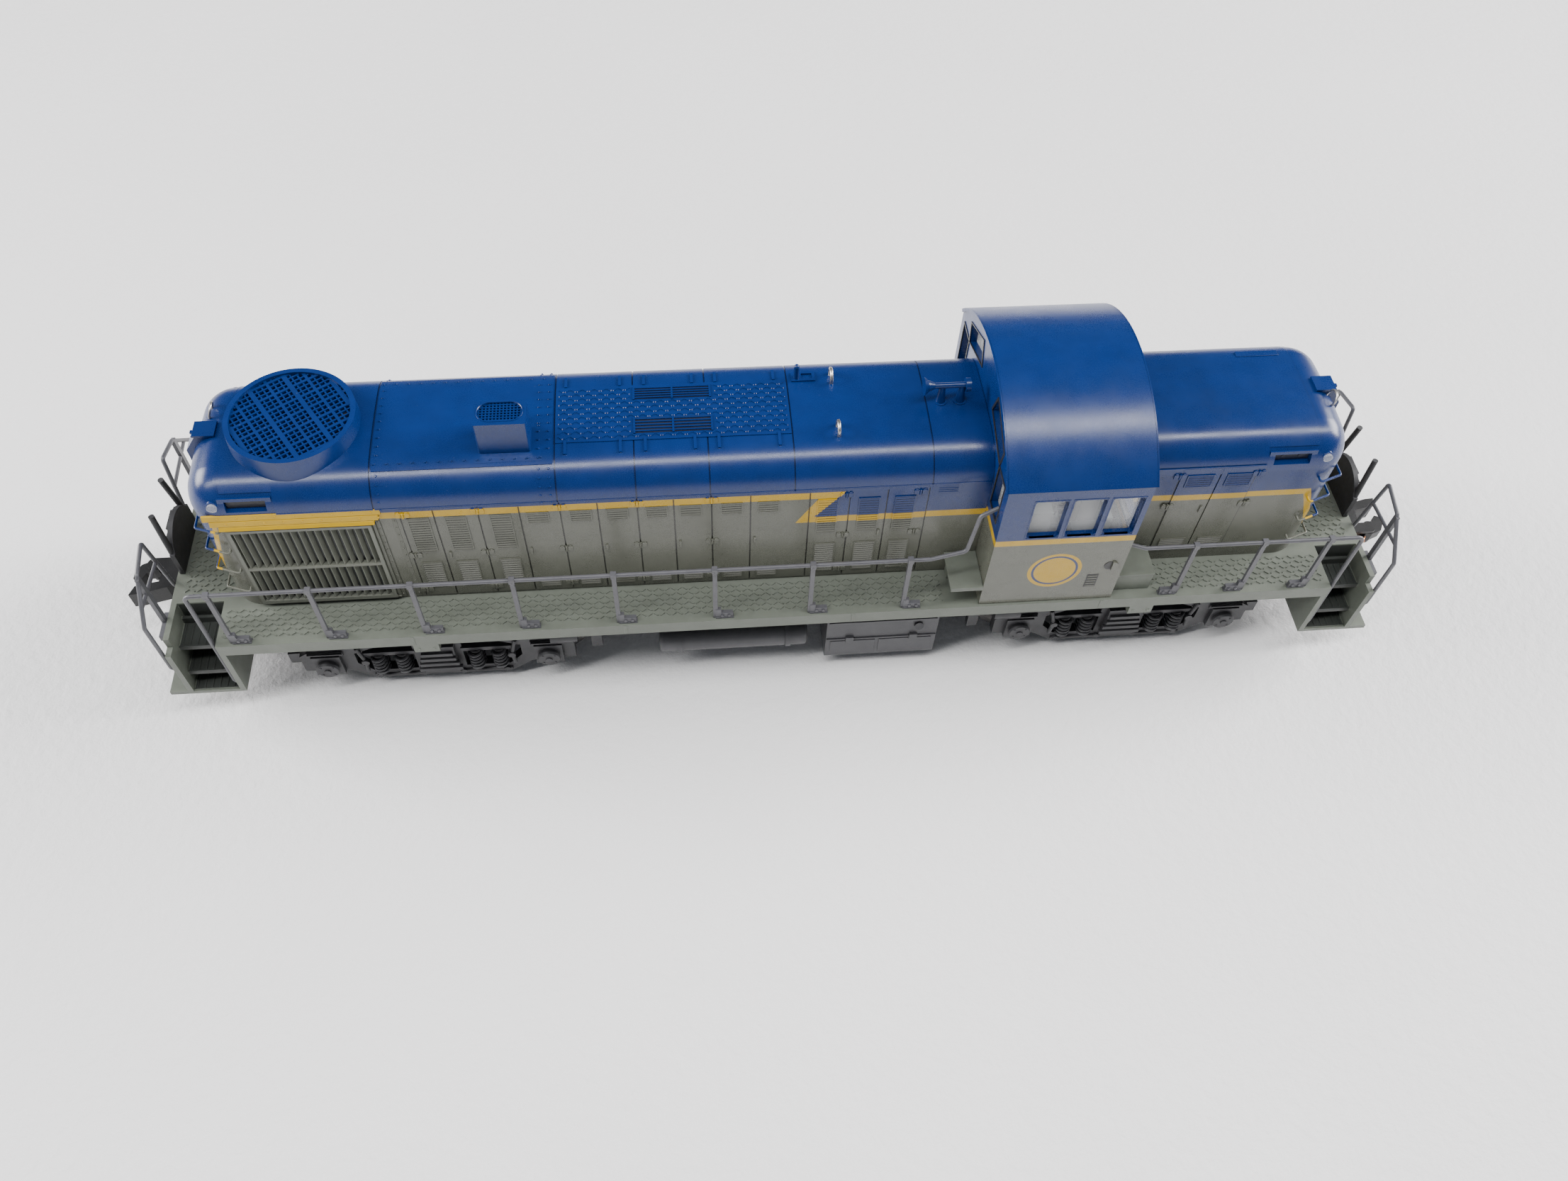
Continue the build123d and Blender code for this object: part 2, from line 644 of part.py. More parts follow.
def fuel_tank():
    """Fuel tank with a seam ledge, end straps and filler necks."""
    tank = block(5.8, 22.8, -15.5, 15.5, 2.7, 12.6)
    tank = fillet(tank.edges().filter_by(Axis.X), 0.8)
    tank += block(5.8, 22.8, -15.5, 15.5, 10.0, CASTING_Z[0]) - block(0, 30, -8.4, 8.4, 12.6, 15)
    for side in (-1, 1):
        tank += block(5.9, 22.7, side * 15.5, side * 15.7, 7.7, 8.0)
        for x in (9.4, 19.2):
            tank += block(x - 0.6, x + 0.6, side * 15.5, side * 15.9, 7.2, 8.5)
    return tank


def air_reservoir(side):
    """Long air tank with domed ends and two hanger straps."""
    y = side * 13.4
    tank = rod_x(-19.5, 3.0, y, 7.6, 2.1)
    tank = fillet(tank.edges(), 0.7)
    for x in (-16.4, 0.0):
        strap = rod_x(x - 0.4, x + 0.4, y, 7.6, 2.3)
        strap += block(x - 0.4, x + 0.4, y - side * 2.3, y - side * 1.6, 7.6, CASTING_Z[0])
        tank += strap
    tank += block(-17.0, 0.6, y - side * 4.6, y - side * 1.6, 12.9, CASTING_Z[0])
    return tank


# ---- Couplers ----
def draft_box(end):
    """Coupler pocket under the platform, open towards the end."""
    box = block(79.4, PILOT_X - 0.2, -3.8, 3.8, 8.5, 12.8)
    box -= block(80.4, PILOT_X + 1, -3.0, 3.0, 9.7, 11.3)
    box += rod_z(COUPLER_PIVOT_X, 0, 9.7, 11.3, POST_R)
    box -= rod_z(COUPLER_PIVOT_X, 0, 8, 13, SCREW_R)
    return box if end > 0 else turn(box)


def coupler(end):
    """Shank, head, guard arm, knuckle lugs and hooked uncoupling pin."""
    body = rod_z(COUPLER_PIVOT_X, 0, 9.9, 11.1, 2.0)
    body += block(COUPLER_PIVOT_X, 91.4, -0.9, 0.9, 9.9, 11.1)
    head = [
        (91.0, -1.2),
        (92.4, -3.2),
        (93.6, -3.2),
        (94.0, 1.2),
        (97.4, 1.9),
        (98.0, 3.5),
        (96.6, 3.4),
        (92.6, 2.4),
        (91.0, 1.2),
    ]
    body += prism_z(head, 9.0, 12.0)
    for z0, z1 in ((9.0, 9.55), (11.45, 12.0)):
        lug = rod_z(KNUCKLE_PIN_X, KNUCKLE_PIN_Y, z0, z1, 1.05)
        lug += block(93.2, KNUCKLE_PIN_X, KNUCKLE_PIN_Y - 1.05, KNUCKLE_PIN_Y + 0.8, z0, z1)
        body += lug
    body += rod_z(KNUCKLE_PIN_X, KNUCKLE_PIN_Y, 9.2, 11.8, 0.35)
    body -= rod_z(COUPLER_PIVOT_X, 0, 9, 12, POST_R + 0.08)
    pin_path = [(92.2, 0.2, 9.2), (92.2, 0.2, 4.4), (94.4, 1.6, 2.3), (96.0, 3.2, 2.3)]
    body += tube(pin_path, 0.32, 0.8)
    return body if end > 0 else turn(body)


def knuckle(end):
    """Swinging jaw on its pin, with a hooked nose."""
    outline = [
        (94.6, -3.2),
        (95.6, -3.35),
        (97.4, -2.6),
        (98.2, -1.2),
        (98.2, 0.0),
        (97.3, 0.4),
        (96.8, -0.2),
        (96.4, -1.0),
        (95.4, -1.15),
        (94.75, -1.4),
    ]
    jaw = prism_z(outline, 9.65, 11.35)
    jaw -= rod_z(KNUCKLE_PIN_X, KNUCKLE_PIN_Y, 9, 12, 0.35 + RUNNING)
    return jaw if end > 0 else turn(jaw)


# ---- Driveline ----
def motor_can():
    """Flat-sided motor can with end plates and shaft bearings."""
    half = 13.0
    outer = rod_x(-half, half, 0, DRIVE_Z, 7.5) & block(-half, half, -6.4, 6.4, 0, 40)
    inner = rod_x(-half + 0.8, half - 0.8, 0, DRIVE_Z, 6.7) & block(-half, half, -5.6, 5.6, 0, 40)
    bore = rod_x(-half - 1, half + 1, 0, DRIVE_Z, SHAFT_R + RUNNING)
    return outer - inner - bore


def motor_magnets():
    """Two arc magnets against the can's round top and bottom."""
    ring = rod_x(-8.5, 8.5, 0, DRIVE_Z, 6.7) - rod_x(-9, 9, 0, DRIVE_Z, 5.1)
    band = ring & block(-9, 9, -4.2, 4.2, 0, 40)
    return band


def armature():
    """Five-pole armature with its commutator."""
    core = rod_x(-7.0, 7.0, 0, DRIVE_Z, 4.7)
    for i in range(5):
        angle = i * 72 + 36
        slot = Pos(0, 0, DRIVE_Z) * Rot(angle, 0, 0) * Pos(0, 0, 4.2) * Box(16, 0.9, 2.6)
        core -= slot
    core += rod_x(7.0, 10.4, 0, DRIVE_Z, 2.1)
    return core - rod_x(-20, 20, 0, DRIVE_Z, SHAFT_R)


FLYWHEEL_X = (14.6, 24.0)
CUP_BALL_X = TRUCK_X - 10.5


def motor_shaft():
    return rod_x(-FLYWHEEL_X[1] + 1.6, FLYWHEEL_X[1] - 1.6, 0, DRIVE_Z, SHAFT_R)


def flywheel(out):
    wheel = rod_x(out * FLYWHEEL_X[0], out * FLYWHEEL_X[1], 0, DRIVE_Z, 6.4)
    wheel = chamfer(wheel.edges().filter_by(GeomType.CIRCLE), 0.4)
    wheel -= rod_x(out * 10, out * (FLYWHEEL_X[1] - 1.6), 0, DRIVE_Z, SHAFT_R)
    wheel -= rod_x(out * (FLYWHEEL_X[1] - 1.6), out * 30, 0, DRIVE_Z, 1.2)
    return wheel


def cardan(out):
    """Drive shaft seated in the flywheel, ball-ended towards the truck."""
    shaft = rod_x(out * (FLYWHEEL_X[1] - 1.6), out * (FLYWHEEL_X[1] + 0.4), 0, DRIVE_Z, 1.2)
    shaft += rod_x(out * FLYWHEEL_X[1], out * CUP_BALL_X, 0, DRIVE_Z, 0.6)
    shaft += Pos(out * CUP_BALL_X, 0, DRIVE_Z) * Sphere(0.85)
    return shaft


def worm(truck_x, inner):
    """Steel worm on its shaft, with the drive cup on the side towards the motor."""
    thread_r = WORM_PITCH_R + MODULE * 0.8
    root_r = WORM_PITCH_R - MODULE * 1.3
    pitch = pi * MODULE
    half = 3 * pitch
    body = Cylinder(root_r, 2 * half + 0.6)
    helix = Helix(pitch=pitch, height=2 * half, radius=root_r - 0.1, center=(0, 0, -half))
    start = Plane(origin=helix @ 0, x_dir=(1, 0, 0), z_dir=helix % 0)
    depth = thread_r - root_r + 0.1
    tooth = start * make_face(
        Polyline((0, -0.34), (depth, -0.12), (depth, 0.12), (0, 0.34), close=True)
    )
    body += sweep(tooth, path=helix, is_frenet=True)
    body += Cylinder(0.9, 18.6)
    # The thread passes straight below the axis half a pitch from the middle, so a
    # gear tooth stands there in the gap between two turns.
    body = Rot(180, 0, 0) * (Rot(0, 90, 0) * body)
    cup = rod_x(inner * 8.5, inner * 11.2, 0, 0, 2.9) - rod_x(inner * 9.0, inner * 12, 0, 0, 2.35)
    body += cup
    return Pos(truck_x, 0, DRIVE_Z) * body


def spur_gear(teeth, width, tooth_angle, bore_r, pin_r, pin_half):
    """Spur gear about Y with one tooth centred on tooth_angle in the XZ plane."""
    pitch_r = MODULE * teeth / 2
    root_r = pitch_r - 1.25 * MODULE
    tip_r = pitch_r + 0.85 * MODULE
    gear = Rot(90, 0, 0) * Cylinder(root_r, width)
    root_half = 0.35 * MODULE * pi / 2 + 0.06
    tip_half = 0.15 * MODULE * pi / 2
    for i in range(teeth):
        angle = radians(tooth_angle + 360 * i / teeth)
        outline = []
        for radius, offset in (
            (root_r - 0.1, -root_half),
            (tip_r, -tip_half),
            (tip_r, tip_half),
            (root_r - 0.1, root_half),
        ):
            x = radius * cos(angle) - offset * sin(angle)
            z = radius * sin(angle) + offset * cos(angle)
            outline.append((x, z))
        gear += prism_y(outline, -width / 2, width / 2)
    if pin_r:
        gear += Rot(90, 0, 0) * Cylinder(pin_r, 2 * pin_half)
    if bore_r:
        gear -= Rot(90, 0, 0) * Cylinder(bore_r, 40)
    return gear


def meshed_angle(angle, teeth, line, mate_teeth):
    """Tooth angle of a gear that meshes with one at angle along a line of centres."""
    offset = (line - angle) % (360 / teeth)
    return line + 180 + offset * teeth / mate_teeth + 180 / mate_teeth


CENTRE_TOOTH = 90.0
GEAR_WIDTH = 1.8
PIN_R = 0.9


def truck_gears(truck_x, out):
    """Centre gear, two idlers and two axle gears, in mesh."""
    centre = Pos(truck_x, 0, CENTRE_Z) * spur_gear(CENTRE_TEETH, GEAR_WIDTH, CENTRE_TOOTH, 0, PIN_R, 3.4)
    gears = {"centre_gear": centre}
    for name, side in (("outer", out), ("inner", -out)):
        line = degrees(atan2(IDLER_Z - CENTRE_Z, side * IDLER_X))
        idler_tooth = meshed_angle(CENTRE_TOOTH, CENTRE_TEETH, line, IDLER_TEETH)
        line = degrees(atan2(AXLE_Z - IDLER_Z, side * (HALF_WHEELBASE - IDLER_X)))
        axle_tooth = meshed_angle(idler_tooth, IDLER_TEETH, line, AXLE_TEETH)
        idler = spur_gear(IDLER_TEETH, GEAR_WIDTH, idler_tooth, 0, PIN_R, 3.4)
        gears[f"{name}_idler"] = Pos(truck_x + side * IDLER_X, 0, IDLER_Z) * idler
        drive = spur_gear(AXLE_TEETH, GEAR_WIDTH, axle_tooth, 1.0, 1.9, WHEEL_BACK_Y)
        axle_x = truck_x + side * HALF_WHEELBASE
        gears[f"{name}_axle"] = [
            Pos(axle_x, 0, AXLE_Z) * drive,
            rod_y(axle_x, -9.6, 9.6, AXLE_Z, 1.0),
        ]
    return gears


def wheel(x, side):
    """Flanged wheel with a dished face and a coned tread."""
    back = WHEEL_BACK_Y
    profile = [
        (1.0, back),
        (FLANGE_R - 0.25, back),
        (FLANGE_R, back + 0.3),
        (FLANGE_R - 0.1, back + 0.55),
        (TREAD_R + 0.1, back + 0.8),
        (TREAD_R - 0.1, back + 2.75),
        (TREAD_R - 0.9, back + 2.75),
        (TREAD_R - 1.5, back + 2.1),
        (2.1, back + 2.1),
        (1.9, back + 2.75),
        (1.0, back + 2.75),
    ]
    face = make_face(Polyline(*[(r, y, 0) for r, y in profile], close=True))
    solid = revolve(face, axis=Axis.Y)
    if side < 0:
        solid = mirror_y(solid)
    return Pos(x, 0, AXLE_Z) * solid


def gear_tower(truck_x):
    """Truck frame: side plates round the gear train, worm cradle and bolster arms."""
    half = 22.6
    side_plates = block(-half, half, -3.4, 3.4, 3.4, 10.6)
    side_plates += prism_y(((-13.6, 10.6), (13.6, 10.6), (7.0, 17.0), (-7.0, 17.0)), -3.4, 3.4)
    side_plates += block(-7.6, 7.6, -3.4, 3.4, 14.0, DRIVE_Z + 1.9)
    tower = side_plates - block(-half + 1.0, half - 1.0, -1.4, 1.4, 3.0, CENTRE_Z + 2.6)
    tower -= block(-5.6, 5.6, -3.2, 3.2, CENTRE_Z + 2.4, 40)
    tower -= block(-6.3, 6.3, -1.4, 1.4, 3, 40)
    for x in (-HALF_WHEELBASE, HALF_WHEELBASE):
        tower -= rod_y(x, -5, 5, AXLE_Z, 1.9 + RUNNING)
        tower -= block(x - 1.95, x + 1.95, -5, 5, 3.0, AXLE_Z)
    for x in (-IDLER_X, IDLER_X):
        tower -= rod_y(x, -5, 5, IDLER_Z, PIN_R + RUNNING)
    tower -= rod_y(0, -5, 5, CENTRE_Z, PIN_R + RUNNING)
    tower -= rod_x(-9, 9, 0, DRIVE_Z, 0.9 + RUNNING)
    for side in (-1, 1):
        tower += block(-4.0, 4.0, side * 3.4, side * 12.4, 7.0, 9.6)
        pad = block(-3.2, 3.2, side * 3.4, side * 7.6, 9.6, CASTING_Z[0] - 0.1)
        tower += pad & rod_z(0, 0, 9, 15, BOLSTER_R)
    return Pos(truck_x, 0, 0) * tower


def keeper_plate(truck_x):
    """Clip-on bottom cover that holds the axles in their slots."""
    plate = block(-22.6, 22.6, -3.4, 3.4, 2.4, 3.4)
    for x in (-HALF_WHEELBASE, HALF_WHEELBASE):
        post = block(x - 1.85, x + 1.85, -3.3, -1.5, 3.4, AXLE_Z - 1.2)
        post += block(x - 1.85, x + 1.85, 1.5, 3.3, 3.4, AXLE_Z - 1.2)
        plate += post - rod_y(x, -5, 5, AXLE_Z, 1.9 + RUNNING)
        plate -= rod_y(x, -1.6, 1.6, AXLE_Z, 5.1)
    return Pos(truck_x, 0, 0) * plate


def coil(x, y, z0, z1):
    """Coil spring moulded as a ribbed column."""
    column = rod_z(x, y, z0, z1, 0.85)
    turns = 5
    rise = (z1 - z0) / turns
    for i in range(turns):
        column += Pos(x, y, z0 + rise * (i + 0.5)) * Cylinder(1.15, rise * 0.5)
    return column


def sideframe(truck_x, side, out):
    """One truck side: cast frame, journal boxes, springs and brake cylinder."""
    y0 = 12.4
    y1 = 13.9
    outline = (
        (-20.2, 4.6),
        (-20.2, 8.4),
        (-18.0, 9.9),
        (-12.4, 10.4),
        (-9.6, 12.2),
        (9.6, 12.2),
        (12.4, 10.4),
        (18.0, 9.9),
        (20.2, 8.4),
        (20.2, 4.6),
        (13.6, 4.2),
        (10.4, 1.8),
        (-10.4, 1.8),
        (-13.6, 4.2),
    )
    opening = ((3.6, 3.8), (10.2, 3.8), (12.2, 6.0), (12.2, 8.6), (9.2, 9.9), (3.6, 9.9))
    frame = prism_y(outline, y0, y1)
    for sign in (-1, 1):
        frame -= prism_y([(sign * x, z) for x, z in opening], y0 - 1, y1 + 1)
        for x in (5.4, 8.9):
            frame += coil(sign * x, 13.1, 3.7, 8.2)
        frame += block(sign * 3.4, sign * 11.0, 12.7, 14.1, 8.0, 8.8)
        journal_x = sign * HALF_WHEELBASE
        frame += block(journal_x - 2.1, journal_x + 2.1, y0, 14.6, 4.4, 8.9)
        frame += rod_y(journal_x, 14.5, 15.2, AXLE_Z, 1.55)
        frame += block(journal_x - 2.6, journal_x + 2.6, y0, 14.2, 8.6, 9.6)
    frame += block(-2.6, 2.6, y1 - 0.2, 14.7, 3.4, 10.2)
    for i in range(4):
        frame += block(-3.2 + 0.3 * i, 3.2 - 0.3 * i, 14.5, 15.1, 4.4 + i * 1.3, 5.1 + i * 1.3)
    frame += block(16.0, 24.4, y0, 13.4, 9.6, 10.8)
    frame += rod_x(17.0, 21.0, 14.0, 11.2, 1.35)
    frame += block(22.8, 24.4, y0, 13.4, 6.4, 9.8)
    frame += block(-22.0, -19.8, y0, 13.2, 6.0, 8.4)
    frame += block(-3.0, 3.0, 11.8, y0 + 0.2, 7.2, 9.4) - block(-4, 4, 11, 12.4, 7.0, 9.6)
    if out > 0:
        frame = mirror_x(frame)
    if side < 0:
        frame = mirror_y(frame)
    return Pos(truck_x, 0, 0) * frame


# ---- Electrics and screws ----
def circuit_board():
    """Lighting and decoder board on top of the weight."""
    board = block(-58.0, 18.0, -5.6, 5.6, 40.2, 41.0)
    for x in (-50, -36, -18, -4, 10):
        board += block(x - 2.4, x + 2.4, -2.6, 2.6, 41.0, 41.9)
    for x in (-57.0, 17.0):
        board += block(x - 0.9, x + 0.9, -4.6, 4.6, 41.0, 41.6)
    return board


def screw(x, y, z_head, length):
    """Pan-head screw driven upwards, its head at the bottom."""
    head = rod_z(x, y, z_head, z_head + 0.8, 1.3)
    head -= block(x - 1.0, x + 1.0, y - 0.17, y + 0.17, z_head - 0.1, z_head + 0.35)
    head -= block(x - 0.17, x + 0.17, y - 1.0, y + 1.0, z_head - 0.1, z_head + 0.35)
    return head + rod_z(x, y, z_head + 0.8, z_head + 0.8 + length, SCREW_R)


def main():
    os.makedirs("parts", exist_ok=True)

    save("long_hood_shell", long_hood())
    save("short_hood_shell", short_hood())
    save("cab_shell", cab())
    save("cab_glazing", *cab_panes())
    save("cab_interior", *cab_inside())
    save("radiator_shutters", shutter(-1), shutter(1))
    save("fan_grille", fan_shroud())
    save("exhaust_stack", stack())
    save("horn", air_horn())
    save("vent_pipe", vent_pipe())
    save("lift_rings", lift_ring(6.5, 4.9), lift_ring(6.5, -4.9))
    visors = (headlight_visor(LONG_HOOD_END_X, -1), headlight_visor(SHORT_HOOD_END_X, 1))
    save("headlight_visors", *visors)
    save("light_lenses", *lenses())

    save("walkway_deck", walkway())
    save("front_pilot_steps", pilot(1))
    save("rear_pilot_steps", pilot(-1))
    save("drop_steps", drop_step(1), drop_step(-1))
    save("right_handrails", side_rail_long(-1), side_rail_short(-1))
    save("left_handrails", side_rail_long(1), side_rail_short(1))
    save("end_handrails", end_rail(1), end_rail(-1))
    save("grab_irons", *grab_irons())

    save("chassis_casting", underframe())
    save("ballast_weight", ballast())
    save("fuel_tank", fuel_tank())
    save("air_reservoirs", air_reservoir(-1), air_reservoir(1))
    save("coupler_boxes", draft_box(1), draft_box(-1))
    save("front_coupler", coupler(1))
    save("rear_coupler", coupler(-1))
    save("front_knuckle", knuckle(1))
    save("rear_knuckle", knuckle(-1))

    save("motor_case", motor_can())
    save("motor_magnets", motor_magnets())
    save("armature", armature())
    save("motor_shaft", motor_shaft())
    save("flywheels", flywheel(-1), flywheel(1))
    save("cardan_shafts", cardan(-1), cardan(1))
    save("circuit_board", circuit_board())
    screws = [screw(x, 0, 7.7, 7.2) for x in (-COUPLER_PIVOT_X, COUPLER_PIVOT_X)]
    save("body_screws", *screws)

    for name, truck_x, out in (("front", TRUCK_X, 1), ("rear", -TRUCK_X, -1)):
        sides = [sideframe(truck_x, side, out) for side in (-1, 1)]
        save(f"{name}_gear_tower", gear_tower(truck_x))
        save(f"{name}_keeper_plate", keeper_plate(truck_x))
        save(f"{name}_sideframes", *sides)
        save(f"{name}_worm", worm(truck_x, -out))
        gears = truck_gears(truck_x, out)
        save(f"{name}_centre_gear", gears["centre_gear"])
        for place, sign in (("outer", out), ("inner", -out)):
            axle_x = truck_x + sign * HALF_WHEELBASE
            save(f"{name}_{place}_idler", gears[f"{place}_idler"])
            save(f"{name}_{place}_axle", *gears[f"{place}_axle"])
            save(f"{name}_{place}_wheels", wheel(axle_x, -1), wheel(axle_x, 1))


main()
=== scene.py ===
import bmesh
import bpy
import math
from mathutils import Matrix, Vector


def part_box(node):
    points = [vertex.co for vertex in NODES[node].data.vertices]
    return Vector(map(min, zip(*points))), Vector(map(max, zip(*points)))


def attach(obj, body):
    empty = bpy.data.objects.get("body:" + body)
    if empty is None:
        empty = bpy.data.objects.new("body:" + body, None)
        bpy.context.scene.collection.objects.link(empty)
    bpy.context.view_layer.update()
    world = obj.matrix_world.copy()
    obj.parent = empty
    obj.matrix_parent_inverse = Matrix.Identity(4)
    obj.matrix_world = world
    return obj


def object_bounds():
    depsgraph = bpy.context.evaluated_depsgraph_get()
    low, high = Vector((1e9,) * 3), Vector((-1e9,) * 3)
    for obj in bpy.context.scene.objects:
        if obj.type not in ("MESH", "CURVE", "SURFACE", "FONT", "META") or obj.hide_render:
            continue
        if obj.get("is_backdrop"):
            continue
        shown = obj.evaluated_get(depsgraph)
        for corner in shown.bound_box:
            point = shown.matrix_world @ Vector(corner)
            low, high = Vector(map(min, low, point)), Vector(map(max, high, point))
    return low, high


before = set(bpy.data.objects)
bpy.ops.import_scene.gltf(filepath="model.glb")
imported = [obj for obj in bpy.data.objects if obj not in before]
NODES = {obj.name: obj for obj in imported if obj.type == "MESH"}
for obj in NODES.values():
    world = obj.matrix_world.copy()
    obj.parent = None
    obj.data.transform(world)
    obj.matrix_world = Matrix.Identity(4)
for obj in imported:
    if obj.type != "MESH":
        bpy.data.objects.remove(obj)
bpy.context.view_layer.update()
MM = 0.001

# ---- Places in millimetres, read from the CAD frame where it gives them ----


def box_mm(node):
    low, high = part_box(node)
    return low / MM, high / MM


LONG_LOW, LONG_HIGH = box_mm("long_hood_shell")
SHORT_HIGH = box_mm("short_hood_shell")[1]
CAB_LOW, CAB_HIGH = box_mm("cab_shell")
DECK_HIGH = box_mm("walkway_deck")[1]
FAN_LOW, FAN_HIGH = box_mm("fan_grille")
STACK_LOW, STACK_HIGH = box_mm("exhaust_stack")
SHUTTER_LOW, SHUTTER_HIGH = box_mm("radiator_shutters")

HOOD_Y = LONG_HIGH.y                  # half width of both hoods
HOOD_SIDE_Z = 42.3                    # crown arc ends here
HOOD_TOP_Z = LONG_HIGH.z
HOOD_CORNER = 5.2
DECK_Z = LONG_LOW.z                   # deck top, where the hoods stand
CAB_Y = CAB_HIGH.y
CAB_EAVE_Z = 43.4
FAN_X = (FAN_LOW.x + FAN_HIGH.x) / 2
FAN_R = FAN_HIGH.y
TRUCK_X = 52.5
AXLE_X = 16.33                        # from the truck centre
AXLE_Z = 6.48
SKIN = 0.13                           # thickness of the raised sheet panels
ROOF_SEAMS = (-55.3, -31.4, -20.95, -11.1, 0.3, 19.1, CAB_LOW.x)
GAP = 0.20                            # width of the seams between them


# ---- Materials ----
class Nodes:
    """Short forms for building one material's node tree."""

    def __init__(self, name, **shader):
        self.mat = bpy.data.materials.new(name)
        self.mat.use_nodes = True
        self.tree = self.mat.node_tree
        self.tree.nodes.clear()
        self.shader = self.node("ShaderNodeBsdfPrincipled")
        output = self.node("ShaderNodeOutputMaterial")
        self.link(self.shader.outputs[0], output.inputs[0])
        for key, value in shader.items():
            self.shader.inputs[key.replace("_", " ")].default_value = value
        coords = self.node("ShaderNodeTexCoord").outputs["Object"]
        scale = self.node("ShaderNodeVectorMath", operation="SCALE")
        self.link(coords, scale.inputs[0])
        scale.inputs[3].default_value = 1 / MM
        self.place = scale.outputs[0]
        split = self.node("ShaderNodeSeparateXYZ")
        self.link(self.place, split.inputs[0])
        self.x, self.y, self.z = split.outputs

    def node(self, kind, **props):
        made = self.tree.nodes.new(kind)
        for key, value in props.items():
            setattr(made, key, value)
        return made

    def link(self, a, b):
        self.tree.links.new(a, b)

    def feed(self, value, socket):
        if isinstance(value, (int, float)):
            socket.default_value = value
        elif isinstance(value, (tuple, list)):
            socket.default_value = (*value, 1.0)
        else:
            self.link(value, socket)

    def math(self, operation, a, b=0.0, clamp=False):
        made = self.node("ShaderNodeMath", operation=operation, use_clamp=clamp)
        self.feed(a, made.inputs[0])
        self.feed(b, made.inputs[1])
        return made.outputs[0]

    def above(self, value, edge, soft=0.05):
        """1 where value is over edge, 0 under it, with a narrow soft step."""
        step = self.math("SUBTRACT", value, edge)
        step = self.math("DIVIDE", step, soft)
        return self.math("ADD", step, 0.5, clamp=True)

    def both(self, a, b):
        return self.math("MULTIPLY", a, b)

    def either(self, a, b):
        return self.math("MAXIMUM", a, b)

    def flip(self, a):
        return self.math("SUBTRACT", 1.0, a)

    def noise(self, scale, detail=3.0, rough=0.55, at=None):
        made = self.node("ShaderNodeTexNoise")
        self.link(at or self.place, made.inputs["Vector"])
        made.inputs["Scale"].default_value = scale
        made.inputs["Detail"].default_value = detail
        made.inputs["Roughness"].default_value = rough
        return made.outputs[0]

    def ramp(self, value, low, high, out_low=0.0, out_high=1.0):
        made = self.node("ShaderNodeMapRange")
        self.link(value, made.inputs[0])
        for socket, number in zip(made.inputs[1:5], (low, high, out_low, out_high)):
            socket.default_value = number
        return made.outputs[0]

    def mix(self, amount, a, b, mode="MIX"):
        made = self.node("ShaderNodeMix", data_type="RGBA", blend_type=mode)
        self.feed(amount, made.inputs[0])
        self.feed(a, made.inputs[6])
        self.feed(b, made.inputs[7])
        return made.outputs[2]

    def specks(self, density, size, salt):
        """Rare small dots, such as dust: 1 in a dot, 0 elsewhere."""
        made = self.node("ShaderNodeTexVoronoi")
        moved = self.node("ShaderNodeVectorMath", operation="ADD")
        self.link(self.place, moved.inputs[0])
        moved.inputs[1].default_value = (salt, salt * 2, -salt)
        self.link(moved.outputs[0], made.inputs["Vector"])
        made.inputs["Scale"].default_value = density
        colour = self.node("ShaderNodeSeparateXYZ")
        self.link(made.outputs["Color"], colour.inputs[0])
        near = self.flip(self.above(made.outputs["Distance"], size, 0.04))
        return self.both(near, self.above(colour.outputs[0], 0.78, 0.02))

    def finish(self, colour, rough, bump=None, strength=0.2, depth=0.1):
        self.feed(colour, self.shader.inputs["Base Color"])
        self.feed(rough, self.shader.inputs["Roughness"])
        if bump is not None:
            made = self.node("ShaderNodeBump")
            made.inputs["Strength"].default_value = strength
            made.inputs["Distance"].default_value = depth * MM
            self.link(bump, made.inputs["Height"])
            self.link(made.outputs[0], self.shader.inputs["Normal"])
        return self.mat


BLUE = (0.0002, 0.0165, 0.098)
YELLOW = (0.430, 0.262, 0.0005)
GREY = (0.098, 0.101, 0.080)
DECK_GREY = (0.116, 0.128, 0.105)


def worn(n, colour, amount=0.10, scale=0.35):
    """Large soft patches slightly lighter and darker than the colour."""
    patch = n.noise(scale, 4)
    dark = tuple(c * (1 - amount) for c in colour)
    light = tuple(min(1, c * (1 + amount)) for c in colour)
    return n.mix(n.ramp(patch, 0.3, 0.7), dark, light)


def paint_rough(n, low, high):
    fine = n.noise(9.0, 4)
    broad = n.noise(0.22, 3)
    return n.ramp(n.math("ADD", fine, broad), 0.7, 1.3, low, high)


def paint_bump(n):
    return n.noise(7.0, 3, 0.6)


def seam_shade(n):
    """Mask for painted shade: 1 on the shell's own faces that show only between the raised sheets and doors,
    and near the roof seams.
    """
    wall = n.above(n.math("ABSOLUTE", n.y), HOOD_Y - 0.04, 0.02)
    shade = 0.0
    for x0, x1, z0, z1 in ((-52.4, 18.9, DECK_Z + 0.4, 38.4), (53.9, 65.0, 20.5, 39.1)):
        along = n.both(n.above(n.x, x0), n.flip(n.above(n.x, x1)))
        height = n.both(n.above(n.z, z0), n.flip(n.above(n.z, z1)))
        shade = n.either(shade, n.both(wall, n.both(along, height)))
    roof = n.above(n.z, 38.3)
    for x in ROOF_SEAMS[:-1]:
        near = n.math("ABSOLUTE", n.math("SUBTRACT", n.x, x))
        shade = n.either(shade, n.both(n.math("MULTIPLY", roof, 0.6), n.flip(n.above(near, 0.2))))
    return shade


